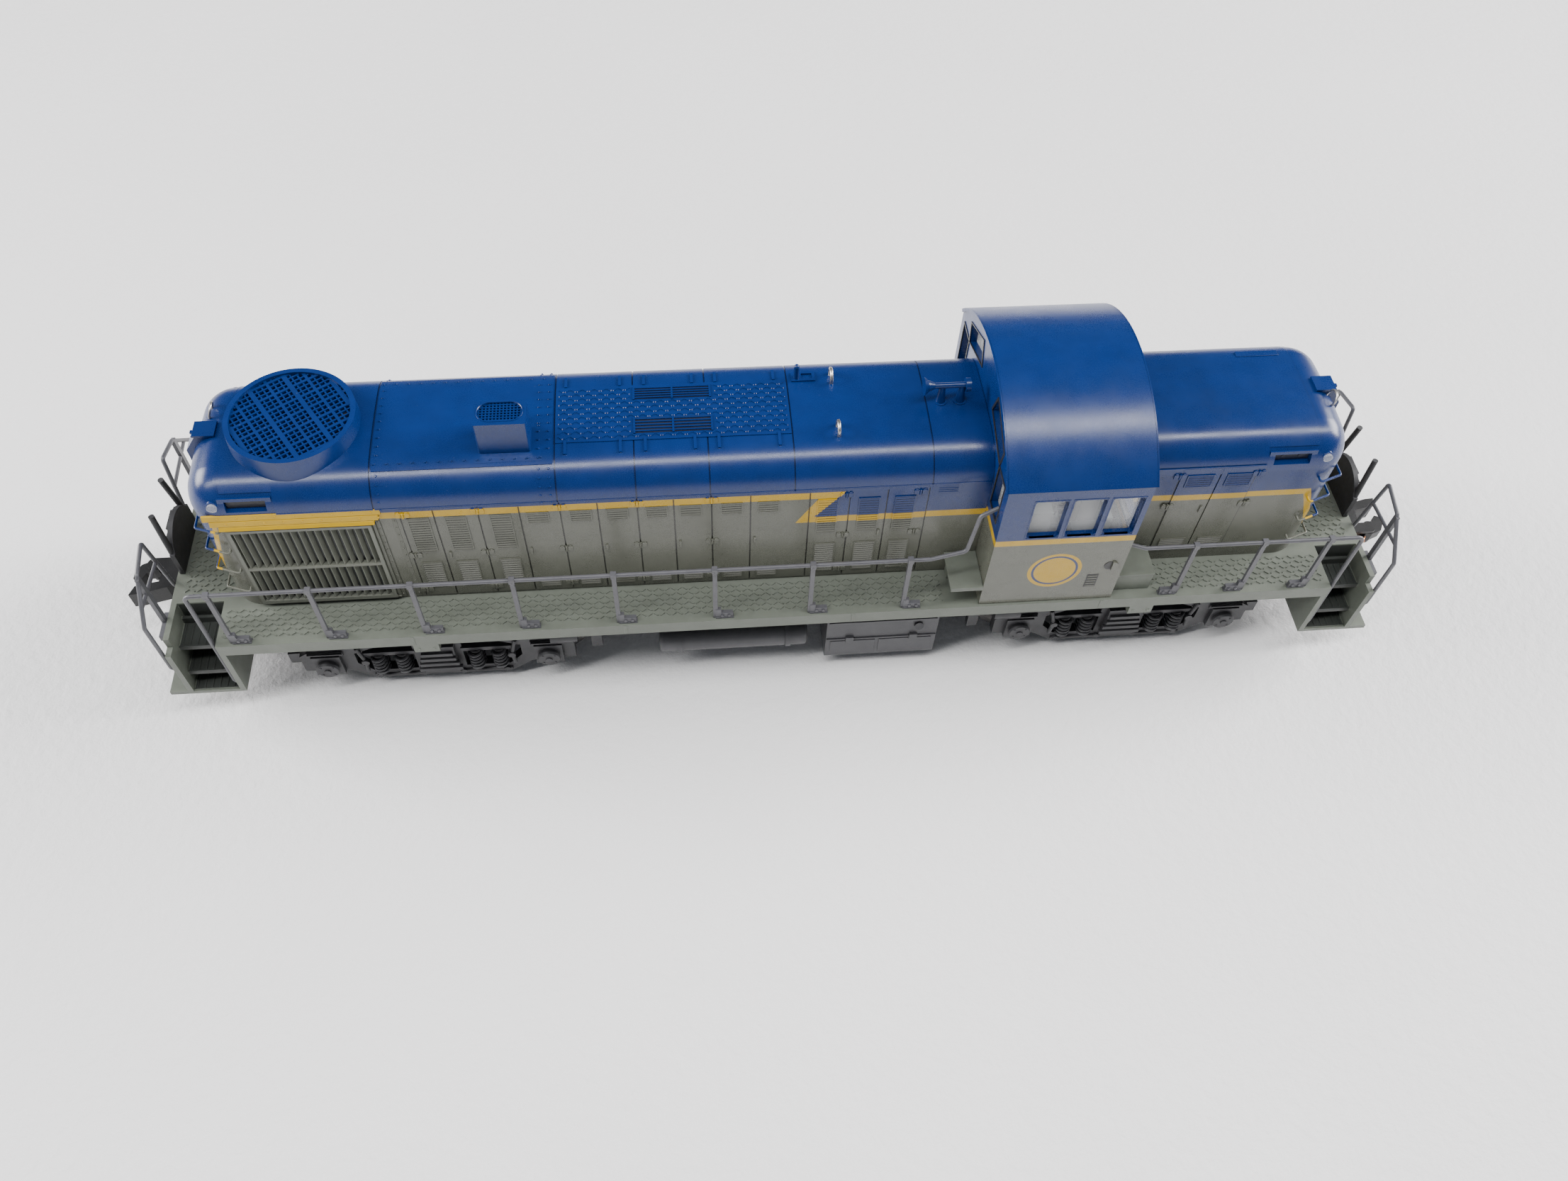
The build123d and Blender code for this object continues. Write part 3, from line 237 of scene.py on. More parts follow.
def two_tone(name, kind, shade=1.0):
    """Blue over grey with a yellow band, the way it is masked on the body."""
    n = Nodes(name, Specular_IOR_Level=0.5)
    soft = 0.06
    x, z = n.x, n.z
    if kind == "cab":
        blue = n.above(z, 33.15, soft)
        grey = n.flip(n.above(z, 32.0, soft))
    else:
        fold_blue = n.ramp(z, 32.55, 37.7, 3.14, 7.24)
        fold_grey = n.ramp(z, 31.2, 36.4, 0.5, 3.6)
        low_blue = n.both(n.above(z, 32.55, soft), n.above(x, fold_blue, soft))
        blue = n.either(n.above(z, 37.7, soft), low_blue)
        left = n.flip(n.above(x, fold_grey, soft))
        low_grey = n.both(n.flip(n.above(z, 36.4, soft)), left)
        grey = n.either(n.flip(n.above(z, 31.3, soft)), low_grey)
        # The short hood's band runs a little higher, then sweeps down round the corner.
        short = n.above(x, 40.0, soft)
        sweep = n.ramp(x, 74.3, 77.6, 0.0, 8.0)
        top = n.math("SUBTRACT", 33.4, sweep)
        bottom = n.math("SUBTRACT", 32.25, n.ramp(x, 73.6, 77.2, 0.0, 9.0))
        blue = n.mix(short, blue, n.above(z, top, soft))
        grey = n.mix(short, grey, n.flip(n.above(z, bottom, soft)))
        # At the far end it drops the same way.
        rear = n.flip(n.above(x, -76.2, soft))
        top = n.math("SUBTRACT", 37.7, n.ramp(x, -76.4, -79.3, 0.0, 12.0))
        bottom = n.math("SUBTRACT", 36.2, n.ramp(x, -76.0, -78.9, 0.0, 12.0))
        blue = n.mix(rear, blue, n.above(z, top, soft))
        grey = n.mix(rear, grey, n.flip(n.above(z, bottom, soft)))
    colour = n.mix(blue, worn(n, YELLOW, 0.06), worn(n, BLUE, 0.08))
    colour = n.mix(grey, colour, worn(n, GREY, 0.06))
    if kind == "cab":
        colour = roundel(n, colour)
    dust = n.math("MULTIPLY", n.specks(0.9, 0.05, 3.1), 0.12)
    scuff = n.both(n.ramp(n.noise(0.12, 2), 0.62, 0.78), n.ramp(n.noise(5.0, 5), 0.55, 0.8))
    dust = n.either(dust, n.math("MULTIPLY", scuff, 0.08))
    colour = n.mix(dust, colour, (0.25, 0.28, 0.33))
    # A shade under 1 darkens the whole paint towards black: painted shade.
    colour = n.mix(1 - shade, colour, (0.0, 0.0, 0.0))
    # The shell gets painted shade in the seams between its raised sheets and doors.
    if kind == "shell":
        colour = n.mix(n.math("MULTIPLY", seam_shade(n), 0.75), colour, (0.0, 0.0, 0.0))
    return n.finish(colour, paint_rough(n, 0.24, 0.33), paint_bump(n), 0.10, 0.05)


def roundel(n, colour):
    """A plain yellow disc with a thin blue ring low on each cab side."""
    middle_x = (CAB_LOW.x + CAB_HIGH.x) / 2 - 0.1
    dx = n.math("SUBTRACT", n.x, middle_x)
    dz = n.math("SUBTRACT", n.z, 25.7)
    square = n.math("ADD", n.math("MULTIPLY", dx, dx), n.math("MULTIPLY", dz, dz))
    distance = n.math("SQRT", square)
    side = n.above(n.math("ABSOLUTE", n.y), CAB_Y - 0.4, 0.05)
    disc = n.both(n.flip(n.above(distance, 3.9, 0.07)), side)
    ring = n.both(n.above(distance, 3.0, 0.07), n.flip(n.above(distance, 3.35, 0.07)))
    colour = n.mix(disc, colour, YELLOW)
    return n.mix(n.both(ring, side), colour, BLUE)


def plain(name, colour, low, high, amount=0.10, scale=0.35, bump=0.12, fine=7.0, metal=0.0,
          specular=0.5, speck=0.0):
    """One colour with soft variation, uneven gloss and a fine surface grain."""
    n = Nodes(name, Metallic=metal, Specular_IOR_Level=specular)
    tone = worn(n, colour, amount, scale)
    if speck:
        tone = n.mix(n.math("MULTIPLY", n.specks(0.9, 0.05, 1.7), speck), tone, (0.3, 0.3, 0.3))
    return n.finish(tone, paint_rough(n, low, high), n.noise(fine, 4, 0.6), bump, 0.06)


def brushed(name, colour, low, high, axis):
    """Bare metal with fine lines turned or drawn along one axis."""
    n = Nodes(name, Metallic=1.0)
    stretch = n.node("ShaderNodeVectorMath", operation="MULTIPLY")
    n.link(n.place, stretch.inputs[0])
    stretch.inputs[1].default_value = tuple(0.3 if i == axis else 9.0 for i in range(3))
    lines = n.noise(1.0, 4, 0.6, stretch.outputs[0])
    dark = tuple(c * 0.82 for c in colour)
    tone = n.mix(n.ramp(lines, 0.3, 0.7), dark, colour)
    return n.finish(tone, n.ramp(lines, 0.2, 0.8, low, high), lines, 0.08, 0.03)


def shutter_material():
    """Grey slats and frame, darker towards the bottom; faces behind the slats' front get painted shade, near
    black.
    """
    n = Nodes("shutter_grey", Specular_IOR_Level=0.5)
    depth = n.math("ABSOLUTE", n.y)
    front = n.above(depth, HOOD_Y - 0.02, 0.10)
    tone = worn(n, (0.135, 0.141, 0.115), 0.06)
    tone = n.mix(n.ramp(n.z, 20.0, 26.0, 0.78, 1.0), (0.05, 0.055, 0.05), tone)
    # Painted shade: faces set back from the front go near black.
    colour = n.mix(front, (0.006, 0.008, 0.008), tone)
    return n.finish(colour, paint_rough(n, 0.38, 0.52), paint_bump(n), 0.10, 0.05)


def deck_material():
    """Pale grey-green moulding with light grime and painted shade in the corner steps."""
    n = Nodes("deck_grey", Specular_IOR_Level=0.45)
    tone = worn(n, DECK_GREY, 0.07, 0.3)
    grime = n.ramp(n.noise(0.9, 5), 0.45, 0.75, 0.0, 0.14)
    tone = n.mix(grime, tone, (0.19, 0.21, 0.19))
    depth = n.math("ABSOLUTE", n.x)
    step_shade = n.both(n.above(depth, DECK_HIGH.x - 7.0, 0.3), n.flip(n.above(depth, 87.5, 0.1)))
    step_shade = n.both(step_shade, n.flip(n.above(n.math("ABSOLUTE", n.y), DECK_HIGH.y - 0.25, 0.05)))
    step_shade = n.both(step_shade, n.flip(n.above(n.z, DECK_Z - 0.3, 0.1)))
    # Painted shade in the corner steps, near black.
    tone = n.mix(n.math("MULTIPLY", step_shade, 0.85), tone, (0.012, 0.014, 0.014))
    return n.finish(tone, paint_rough(n, 0.36, 0.50), n.noise(6.0, 4), 0.15, 0.06)


def clear_material():
    n = Nodes("clear_panes", Alpha=0.22, IOR=1.45, Specular_IOR_Level=0.5)
    tone = n.mix(n.ramp(n.noise(0.4, 3), 0.3, 0.7), (0.93, 0.95, 0.96), (0.98, 0.99, 1.0))
    smear = n.ramp(n.noise(1.6, 5), 0.45, 0.8, 0.02, 0.11)
    return n.finish(tone, smear, n.noise(1.2, 3), 0.06, 0.04)


def circuit_material():
    n = Nodes("board_green", Specular_IOR_Level=0.5)
    raised = n.above(n.z, 41.05, 0.02)
    tone = n.mix(raised, worn(n, (0.02, 0.11, 0.05), 0.2, 1.5), (0.02, 0.02, 0.025))
    return n.finish(tone, paint_rough(n, 0.25, 0.4), n.noise(3.0, 2), 0.1, 0.05)


def armature_material():
    n = Nodes("armature_copper", Metallic=1.0)
    tone = n.mix(n.ramp(n.noise(2.5, 4), 0.35, 0.65), (0.62, 0.27, 0.12), (0.35, 0.34, 0.33))
    return n.finish(tone, paint_rough(n, 0.25, 0.4), n.noise(4.0, 3), 0.2, 0.05)


HOOD = two_tone("hood_paint", "hood")
SHELL = two_tone("hood_shell_paint", "shell")
CAB = two_tone("cab_paint", "cab")
# Hood paint at 0.22 brightness: painted shade for the plates behind the louvres.
HOOD_SHADE = two_tone("louvre_shade", "hood", 0.22)
BLUE_PAINT = plain("roof_blue", BLUE, 0.25, 0.34, 0.08, speck=0.2)
YELLOW_PAINT = plain("band_yellow", YELLOW, 0.32, 0.46, 0.07)
GREY_PAINT = plain("body_grey", GREY, 0.34, 0.46, 0.06)
# Blue darkened about five times: painted shade for recesses, vent backs, grille wells, the fan and the board
# pockets.
SHADED_BLUE = plain("recess_shade_blue", (0.0002, 0.0035, 0.020), 0.45, 0.6, 0.15)
SHUTTER = shutter_material()
DECK = deck_material()
RAIL = plain("rail_grey", (0.072, 0.072, 0.080), 0.34, 0.50, 0.12, 0.6, 0.15)
TRUCK = plain("truck_grey", (0.036, 0.036, 0.039), 0.42, 0.60, 0.16, 0.6, 0.25, 5.0, speck=0.12)
TANK = plain("tank_grey", (0.058, 0.058, 0.063), 0.38, 0.55, 0.10, 0.4, 0.18, 5.0)
BLACK = plain("black_panel", (0.012, 0.012, 0.013), 0.35, 0.5, 0.2, 1.0, 0.2)
RIBBED = plain("step_black", (0.020, 0.020, 0.022), 0.5, 0.7, 0.25, 0.8, 0.3)
COUPLER = plain("coupler_black", (0.004, 0.004, 0.0045), 0.34, 0.50, 0.3, 0.9, 0.3, 4.0)
PLASTIC = plain("drive_black", (0.022, 0.022, 0.025), 0.35, 0.5, 0.2, 0.7, 0.15)
CASTING = plain("zinc_casting", (0.11, 0.11, 0.12), 0.45, 0.65, 0.2, 0.8, 0.35, 4.0, metal=0.6)
INTERIOR = plain("interior_grey", (0.30, 0.33, 0.31), 0.45, 0.6, 0.1, 0.6)
GEAR = plain("gear_acetal", (0.62, 0.60, 0.52), 0.35, 0.5, 0.05, 0.5, 0.08)
MAGNET = plain("ferrite", (0.045, 0.045, 0.05), 0.5, 0.7, 0.15, 1.2, 0.3)
WIRE = brushed("bare_wire", (0.50, 0.48, 0.45), 0.25, 0.45, 2)
COPPER = brushed("copper_wire", (0.72, 0.30, 0.14), 0.22, 0.38, 0)
WHEEL = brushed("wheel_metal", (0.20, 0.19, 0.185), 0.28, 0.45, 1)
STEEL = brushed("ground_steel", (0.62, 0.62, 0.64), 0.18, 0.32, 0)
MOTOR = brushed("motor_can", (0.60, 0.60, 0.62), 0.25, 0.40, 0)
BRASS = brushed("flywheel_brass", (0.78, 0.56, 0.22), 0.18, 0.32, 0)
CLEAR = clear_material()
CIRCUIT = circuit_material()
ARMATURE = armature_material()

NODE_MATERIALS = {
    "long_hood_shell": SHELL, "short_hood_shell": SHELL, "cab_shell": CAB,
    "fan_grille": BLUE_PAINT, "exhaust_stack": BLUE_PAINT, "headlight_visors": BLUE_PAINT,
    "horn": BLUE_PAINT, "vent_pipe": BLUE_PAINT, "cab_glazing": CLEAR, "light_lenses": CLEAR,
    "cab_interior": INTERIOR, "radiator_shutters": SHUTTER, "walkway_deck": DECK,
    "front_pilot_steps": DECK, "rear_pilot_steps": DECK, "lift_rings": WIRE,
    "grab_irons": HOOD, "drop_steps": RIBBED, "right_handrails": RAIL, "left_handrails": RAIL,
    "end_handrails": RAIL, "chassis_casting": CASTING, "ballast_weight": CASTING,
    "fuel_tank": TANK, "air_reservoirs": TANK, "coupler_boxes": PLASTIC,
    "motor_case": MOTOR, "motor_magnets": MAGNET, "armature": ARMATURE, "motor_shaft": STEEL,
    "flywheels": BRASS, "cardan_shafts": PLASTIC, "circuit_board": CIRCUIT,
    "body_screws": STEEL,
}
for end in ("front", "rear"):
    NODE_MATERIALS.update({
        f"{end}_coupler": COUPLER, f"{end}_knuckle": COUPLER, f"{end}_gear_tower": PLASTIC,
        f"{end}_keeper_plate": TRUCK, f"{end}_sideframes": TRUCK, f"{end}_worm": STEEL,
        f"{end}_centre_gear": GEAR,
    })
    for place in ("outer", "inner"):
        NODE_MATERIALS.update({
            f"{end}_{place}_idler": GEAR, f"{end}_{place}_axle": GEAR,
            f"{end}_{place}_wheels": WHEEL,
        })

for node, material in NODE_MATERIALS.items():
    NODES[node].data.materials.clear()
    NODES[node].data.materials.append(material)


# ---- Mesh building ----
class Mesh:
    """Collects closed forms, in millimetres in the row frame, into one piece."""

    def __init__(self):
        self.verts = []
        self.faces = []

    def add(self, verts, faces):
        base = len(self.verts)
        self.verts.extend(verts)
        self.faces.extend([tuple(base + i for i in face) for face in faces])

    def hexa(self, low, high):
        """Six-sided form from four low corners and the four above them."""
        self.add([*low, *high], [
            (3, 2, 1, 0), (4, 5, 6, 7), (0, 1, 5, 4), (1, 2, 6, 5), (2, 3, 7, 6), (3, 0, 4, 7),
        ])

    def box(self, x0, x1, y0, y1, z0, z1):
        x0, x1 = sorted((x0, x1))
        y0, y1 = sorted((y0, y1))
        base = [(x0, y0), (x1, y0), (x1, y1), (x0, y1)]
        self.hexa([(x, y, z0) for x, y in base], [(x, y, z1) for x, y in base])

    def prism(self, outline, place, depth):
        """Prism of a closed outline: place(u, v, w) gives the point, w from 0 to depth."""
        count = len(outline)
        verts = [place(u, v, w) for w in (0.0, depth) for u, v in outline]
        faces = [tuple(range(count))[::-1], tuple(range(count, 2 * count))]
        for i in range(count):
            j = (i + 1) % count
            faces.append((i, j, j + count, i + count))
        self.add(verts, faces)

    def disc(self, centre, axis, radius, depth, sides=10, top=1.0):
        """Short round form standing on centre along axis, its far end top times as wide."""
        axis = Vector(axis).normalized()
        across = axis.orthogonal().normalized()
        other = axis.cross(across)
        centre = Vector(centre)
        rings = []
        for lift, share in ((0.0, 1.0), (depth, top)):
            for i in range(sides):
                angle = 2 * math.pi * i / sides
                point = across * math.cos(angle) + other * math.sin(angle)
                rings.append(tuple(centre + axis * lift + point * radius * share))
        faces = [tuple(range(sides))[::-1], tuple(range(sides, 2 * sides))]
        for i in range(sides):
            j = (i + 1) % sides
            faces.append((i, j, j + sides, i + sides))
        self.add(rings, faces)

    def tube(self, points, radius, sides=8, closed=False):
        """Round wire through the points."""
        points = [Vector(p) for p in points]
        count = len(points)
        side = None
        for i, point in enumerate(points):
            ahead = points[(i + 1) % count] if closed or i < count - 1 else point
            behind = points[i - 1] if closed or i > 0 else point
            run = (ahead - behind).normalized()
            if side is None:
                side = run.orthogonal()
            side = (side - run * side.dot(run)).normalized()
            other = run.cross(side)
            for k in range(sides):
                angle = 2 * math.pi * k / sides
                ring = side * math.cos(angle) + other * math.sin(angle)
                self.verts.append(tuple(point + ring * radius))
        base = len(self.verts) - count * sides
        spans = count if closed else count - 1
        for i in range(spans):
            for k in range(sides):
                a = base + i * sides + k
                b = base + i * sides + (k + 1) % sides
                c = base + ((i + 1) % count) * sides + (k + 1) % sides
                d = base + ((i + 1) % count) * sides + k
                self.faces.append((a, b, c, d))
        if not closed:
            self.faces.append(tuple(base + k for k in range(sides))[::-1])
            self.faces.append(tuple(base + (count - 1) * sides + k for k in range(sides)))

    def piece(self, name, material, body="root", bevel=0.0, smooth=30):
        mesh = bpy.data.meshes.new(name)
        mesh.from_pydata([Vector(v) * MM for v in self.verts], [], self.faces)
        mesh.validate()
        obj = bpy.data.objects.new(name, mesh)
        bpy.context.scene.collection.objects.link(obj)
        mesh.materials.append(material)
        recalc(mesh)
        if bevel:
            modifier = obj.modifiers.new("edges", "BEVEL")
            modifier.width = bevel * MM
            modifier.segments = 2
            modifier.limit_method = "ANGLE"
        if smooth:
            for polygon in mesh.polygons:
                polygon.use_smooth = True
            mesh.set_sharp_from_angle(angle=math.radians(smooth))
        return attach(obj, body)


def recalc(mesh):
    """Turn every closed form's faces outwards."""
    work = bmesh.new()
    work.from_mesh(mesh)
    bmesh.ops.recalc_face_normals(work, faces=work.faces)
    work.to_mesh(mesh)
    work.free()


def on_side(side, out=0.0, wall=HOOD_Y):
    """Places (along x, up z, outwards w) on one side wall."""
    return lambda u, v, w: (u, side * (wall + out + w), v)


def rect(x0, x1, z0, z1):
    """Outline of an upright rectangle."""
    return [(x0, z0), (x1, z0), (x1, z1), (x0, z1)]


def sloped(x0, x1, y0, y1, z0, z1):
    """Four corners of a flat form that lies at z0 along y0 and at z1 along y1."""
    return [(x0, y0, z0), (x1, y0, z0), (x1, y1, z1), (x0, y1, z1)]


def turned(angle):
    """Level directions along and across an angle."""
    along = Vector((math.cos(angle), math.sin(angle), 0))
    return along, Vector((-math.sin(angle), math.cos(angle), 0))


def around(middle, along, across):
    """Four corners of a level rectangle about its middle."""
    near = middle - along - across
    return [near, middle + along - across, middle + along + across, middle - along + across]


# ---- Hood surface ----
def hood_profile(steps=8, crown=14):
    """Hood outline from one side's foot over the roof to the other's: (y, z) and normals."""
    # The crown is an arc through both shoulders and the middle; corners round it off.
    rise = HOOD_TOP_Z - HOOD_SIDE_Z
    arc_r = (HOOD_Y ** 2 + rise ** 2) / (2 * rise)
    arc_z = HOOD_TOP_Z - arc_r
    inner_r = arc_r - HOOD_CORNER
    corner_y = HOOD_Y - HOOD_CORNER
    corner_z = arc_z + math.sqrt(inner_r ** 2 - corner_y ** 2)
    lean = math.atan2(corner_y, corner_z - arc_z)
    half = []
    for i in range(steps + 1):
        angle = (math.pi / 2 - lean) * i / steps
        half.append((corner_y + HOOD_CORNER * math.cos(angle), corner_z + HOOD_CORNER * math.sin(angle),
                     math.cos(angle), math.sin(angle)))
    for i in range(1, crown // 2 + 1):
        angle = lean * (1 - i / (crown // 2))
        half.append((arc_r * math.sin(angle), arc_z + arc_r * math.cos(angle),
                     math.sin(angle), math.cos(angle)))
    mirrored = [(-y, z, -ny, nz) for y, z, ny, nz in half[:-1]]
    return mirrored + half[::-1]


PROFILE = hood_profile()
SHOULDER_Z = PROFILE[0][1]


def profile_band(low_z):
    """The profile with straight sides down to low_z."""
    y, _, ny, _ = PROFILE[0]
    return [(y, low_z, ny, 0.0), *PROFILE, (-y, low_z, -ny, 0.0)]


def skin(mesh, x0, x1, band, thickness, lift=0.0):
    """A thin sheet over the hood between x0 and x1 along a run of profile points."""
    under = [(y + ny * lift, z + nz * lift) for y, z, ny, nz in band]
    over = [(y + ny * (lift + thickness), z + nz * (lift + thickness)) for y, z, ny, nz in band]
    outline = over + under[::-1]
    count = len(band)
    verts = [(x, y, z) for x in (x0, x1) for y, z in outline]
    size = len(outline)
    faces = []
    for i in range(size):
        j = (i + 1) % size
        faces.append((i, j, j + size, i + size))
    for base in (0, size):
        for i in range(count - 1):
            faces.append((base + i, base + i + 1, base + size - 2 - i, base + size - 1 - i))
    mesh.add(verts, faces)


def roof_point(y, lift=0.0):
    """Height and normal of the hood roof at y."""
    for (y0, z0, n0, m0), (y1, z1, n1, m1) in zip(PROFILE, PROFILE[1:]):
        if min(y0, y1) <= y <= max(y0, y1):
            t = (y - y0) / (y1 - y0)
            return z0 + (z1 - z0) * t + lift, (n0 + (n1 - n0) * t, m0 + (m1 - m0) * t)
    return PROFILE[0][1] + lift, (1.0, 0.0)


PANEL_TOP = 38.25
roof = Mesh()
FULL = profile_band(PANEL_TOP + 0.15)
ABOVE_BOARDS = [point for point in PROFILE if point[1] > 40.95]
skin(roof, -74.4, -67.8, ABOVE_BOARDS, SKIN)
skin(roof, -67.8, ROOF_SEAMS[0] - GAP / 2, FULL, SKIN)
for x0, x1 in zip(ROOF_SEAMS, ROOF_SEAMS[1:]):
    skin(roof, x0 + GAP / 2, x1 - GAP / 2, FULL, SKIN)
skin(roof, CAB_HIGH.x, 65.8, profile_band(39.1), SKIN)
skin(roof, 65.8, 73.0, ABOVE_BOARDS, SKIN)
# The riveted hatch between the fan and the tread plate.
HATCH_Y = 7.75
skin(roof, ROOF_SEAMS[0] + 0.25, ROOF_SEAMS[1] - 0.25,
     [point for point in PROFILE if abs(point[0]) < HATCH_Y + 0.3], 0.13, SKIN - 0.01)
roof.piece("hood_roof_sheets", HOOD)

# ---- Doors, louvres and door hardware on the hood sides ----
LONG_DOORS = (-52.3, -47.9, -42.1, -36.7, -31.3, -26.3, -21.0, -16.1, -11.0, -5.7, 2.4, 7.9, 13.1, 18.8)
SHORT_DOORS = (54.0, 59.7, 64.9)
DOOR_THICK = 0.17
doors = Mesh()
for side in (-1, 1):
    place = on_side(side, -0.02)
    for x0, x1 in zip(LONG_DOORS, LONG_DOORS[1:]):
        a, b = x0 + GAP / 2, x1 - GAP / 2
        doors.prism(rect(a, b, DECK_Z + 0.5, PANEL_TOP), place, DOOR_THICK)
    for x0, x1 in zip(SHORT_DOORS, SHORT_DOORS[1:]):
        a, b = x0 + GAP / 2, x1 - GAP / 2
        doors.prism(rect(a, b, 20.6, 38.95), place, DOOR_THICK)
    for x0, x1 in ((18.8, CAB_LOW.x), (-55.0, -52.3)):
        a, b = x0 + GAP / 2, x1 - GAP / 2
        doors.prism(rect(a, b, DECK_Z + 0.3, PANEL_TOP), place, 0.11)
doors.piece("hood_doors", HOOD)

LOUVRES = []
for x0, x1 in ((-51.4, -48.8), (-46.5, -43.9), (-40.6, -38.0), (3.6, 6.2), (9.3, 12.0), (14.3, 16.9)):
    LOUVRES.append((x0, x1, 29.1, 36.1))
for x0, x1 in ((-51.4, -48.8), (-46.5, -43.9), (-40.6, -38.0)):
    LOUVRES.append((x0, x1, 20.9, 26.4))
for x0, x1 in ((3.6, 6.3), (9.3, 12.1), (14.3, 17.0)):
    LOUVRES.append((x0, x1, 20.0, 26.3))
for x0 in (-35.7, -30.0, -25.1, -19.8, -15.2, -9.6, -4.6):
    LOUVRES.append((x0, x0 + 2.7, 34.3, 36.2))
    LOUVRES.append((x0, x0 + 2.7, 19.6, 21.4))
for x0, x1 in ((55.1, 58.7), (60.8, 64.3)):
    LOUVRES.append((x0, x1, 35.3, 37.6))
    LOUVRES.append((x0, x1, 21.5, 23.3))

louvres = Mesh()
shade_plates = Mesh()
LOUVRE_PITCH = 0.50
LOUVRE_EDGE = 0.14                    # width of the frame round each field
for side in (-1, 1):
    for x0, x1, z0, z1 in LOUVRES:
        place = on_side(side, 0.10)
        # Dark plate behind each louvre field: painted shade between the blades.
        shade_plates.prism(rect(x0, x1, z0, z1), place, 0.07)
        a, b = x0 - LOUVRE_EDGE, x1 + LOUVRE_EDGE
        for edge in ((a, x0, z0, z1), (x1, b, z0, z1),
                     (a, b, z1, z1 + LOUVRE_EDGE), (a, b, z0 - LOUVRE_EDGE, z0)):
            louvres.prism(rect(*edge), place, 0.18)
        count = round((z1 - z0) / LOUVRE_PITCH)
        rise = (z1 - z0) / count
        y_in = side * (HOOD_Y + 0.14)
        y_mid = side * (HOOD_Y + 0.19)
        y_out = side * (HOOD_Y + 0.29)
        for i in range(count):
            low = z0 + (i + 0.18) * rise
            high = z0 + (i + 0.74) * rise
            louvres.hexa(sloped(x0, x1, y_in, y_out, low, low), sloped(x0, x1, y_in, y_mid, high, high))
shade_plates.piece("louvre_painted_shade", HOOD_SHADE, smooth=0)
louvres.piece("hood_louvres", HOOD, smooth=0)

hardware = Mesh()
HINGES = [(x, z) for x in (-42.1, -31.3, -21.0, -11.0) for z in (37.2, 28.2, 20.2)]
HINGES += [(x, z) for x in (-51.9, 7.4, 17.6) for z in (37.0, 28.2, 20.2)]
HINGES += [(53.8, 37.6), (53.8, 31.0), (65.1, 37.6), (65.1, 31.0)]
LATCHES = [(x, 28.0) for x in (-47.2, -36.1, -25.7, -15.5, -5.1)]
LATCHES += [(12.4, 28.4), (58.9, 30.2)]
for side in (-1, 1):
    place = on_side(side, 0.12)
    for x, z in HINGES:
        for offset in (-0.55, 0.55):
            a, b = x + offset - 0.34, x + offset + 0.34
            hardware.prism(rect(a, b, z - 0.42, z + 0.42), place, 0.20)
            hardware.prism(rect(a + 0.14, b - 0.14, z + 0.42, z + 0.62), place, 0.14)
        hardware.disc((x, side * (HOOD_Y + 0.26), z - 0.5), (0, 0, 1), 0.18, 1.0, 8)
    for x, z in LATCHES:
        outline = [(x - 0.17, z - 0.62), (x + 0.17, z - 0.55), (x + 0.22, z + 0.6), (x - 0.12, z + 0.66)]
        hardware.prism(outline, place, 0.26)
    # Vent with level bars beside the cab.
    for i in range(5):
        z = 36.5 + i * 0.4
        hardware.prism(rect(20.1, 22.8, z, z + 0.16), on_side(side, 0.05), 0.10)
hardware.piece("door_hardware", HOOD, bevel=0.03)

# Dark blue plates behind the vent bars: painted shade in the vent openings.
vents = Mesh()
for side in (-1, 1):
    vents.prism(rect(20.0, 22.9, 36.3, 38.3), on_side(side), 0.06)
vents.piece("side_vents", SHADED_BLUE)

# ---- Ledge above each radiator shutter, and the riveted strips ----
ledge = Mesh()
for side in (-1, 1):
    for x0, x1, z0, z1, out_low, out_high in (
        (-77.4, -54.6, 37.55, 38.35, 0.34, 0.10),
        (-76.6, -55.0, 36.75, 37.50, 0.62, 0.40),
        (-75.6, -55.6, 36.20, 36.70, 0.95, 0.66),
    ):
        y_in = side * (HOOD_Y - 0.2)
        low = sloped(x0, x1, y_in, side * (HOOD_Y + out_low), z0, z0)
        high = sloped(x0, x1, y_in, side * (HOOD_Y + out_high), z1, z1)
        ledge.hexa(low, high)
    for i in range(9):
        x = -75.4 + i * 2.45
        ledge.disc((x, side * (HOOD_Y + 0.16), 37.95), (0, side, 0.3), 0.15, 0.16, 8, 0.6)
        ledge.disc((x + 0.9, side * (HOOD_Y + 0.46), 37.15), (0, side, 0.3), 0.15, 0.16, 8, 0.6)
ledge.piece("shutter_ledge", YELLOW_PAINT, bevel=0.04)

strips = Mesh()
for side in (-1, 1):
    for x in (-55.4, -53.2):
        strips.prism(rect(x - 0.3, x + 0.3, DECK_Z + 0.4, 36.1), on_side(side, 0.03), 0.10)
        for i in range(12):
            strips.disc((x, side * (HOOD_Y + 0.1), 19.4 + i * 1.5), (0, side, 0), 0.13, 0.14, 8, 0.6)
    y_in = side * (HOOD_Y - 0.1)
    y_out = side * (HOOD_Y + 0.45)
    for z in (SHUTTER_LOW.z - 0.25, SHUTTER_HIGH.z + 0.02):
        strips.box(SHUTTER_LOW.x - 0.5, SHUTTER_HIGH.x + 0.5, y_in, y_out, z, z + 0.25)
    for x in (SHUTTER_LOW.x - 0.5, SHUTTER_HIGH.x + 0.1):
        strips.box(x, x + 0.4, y_in, side * (HOOD_Y + 0.4), SHUTTER_LOW.z, SHUTTER_HIGH.z)
strips.piece("shutter_trim", GREY_PAINT, bevel=0.03)

# ---- Roof: tread plate, grilles, clips, rivets, fan and stack meshes ----
TREAD_X = (-31.3, 0.2)
TREAD_Y = 5.0
TREAD_LEAN = math.radians(38)
GRILLES = ((-20.8, -10.4, 2.2, 4.5), (-20.8, -10.4, -3.9, -1.3))


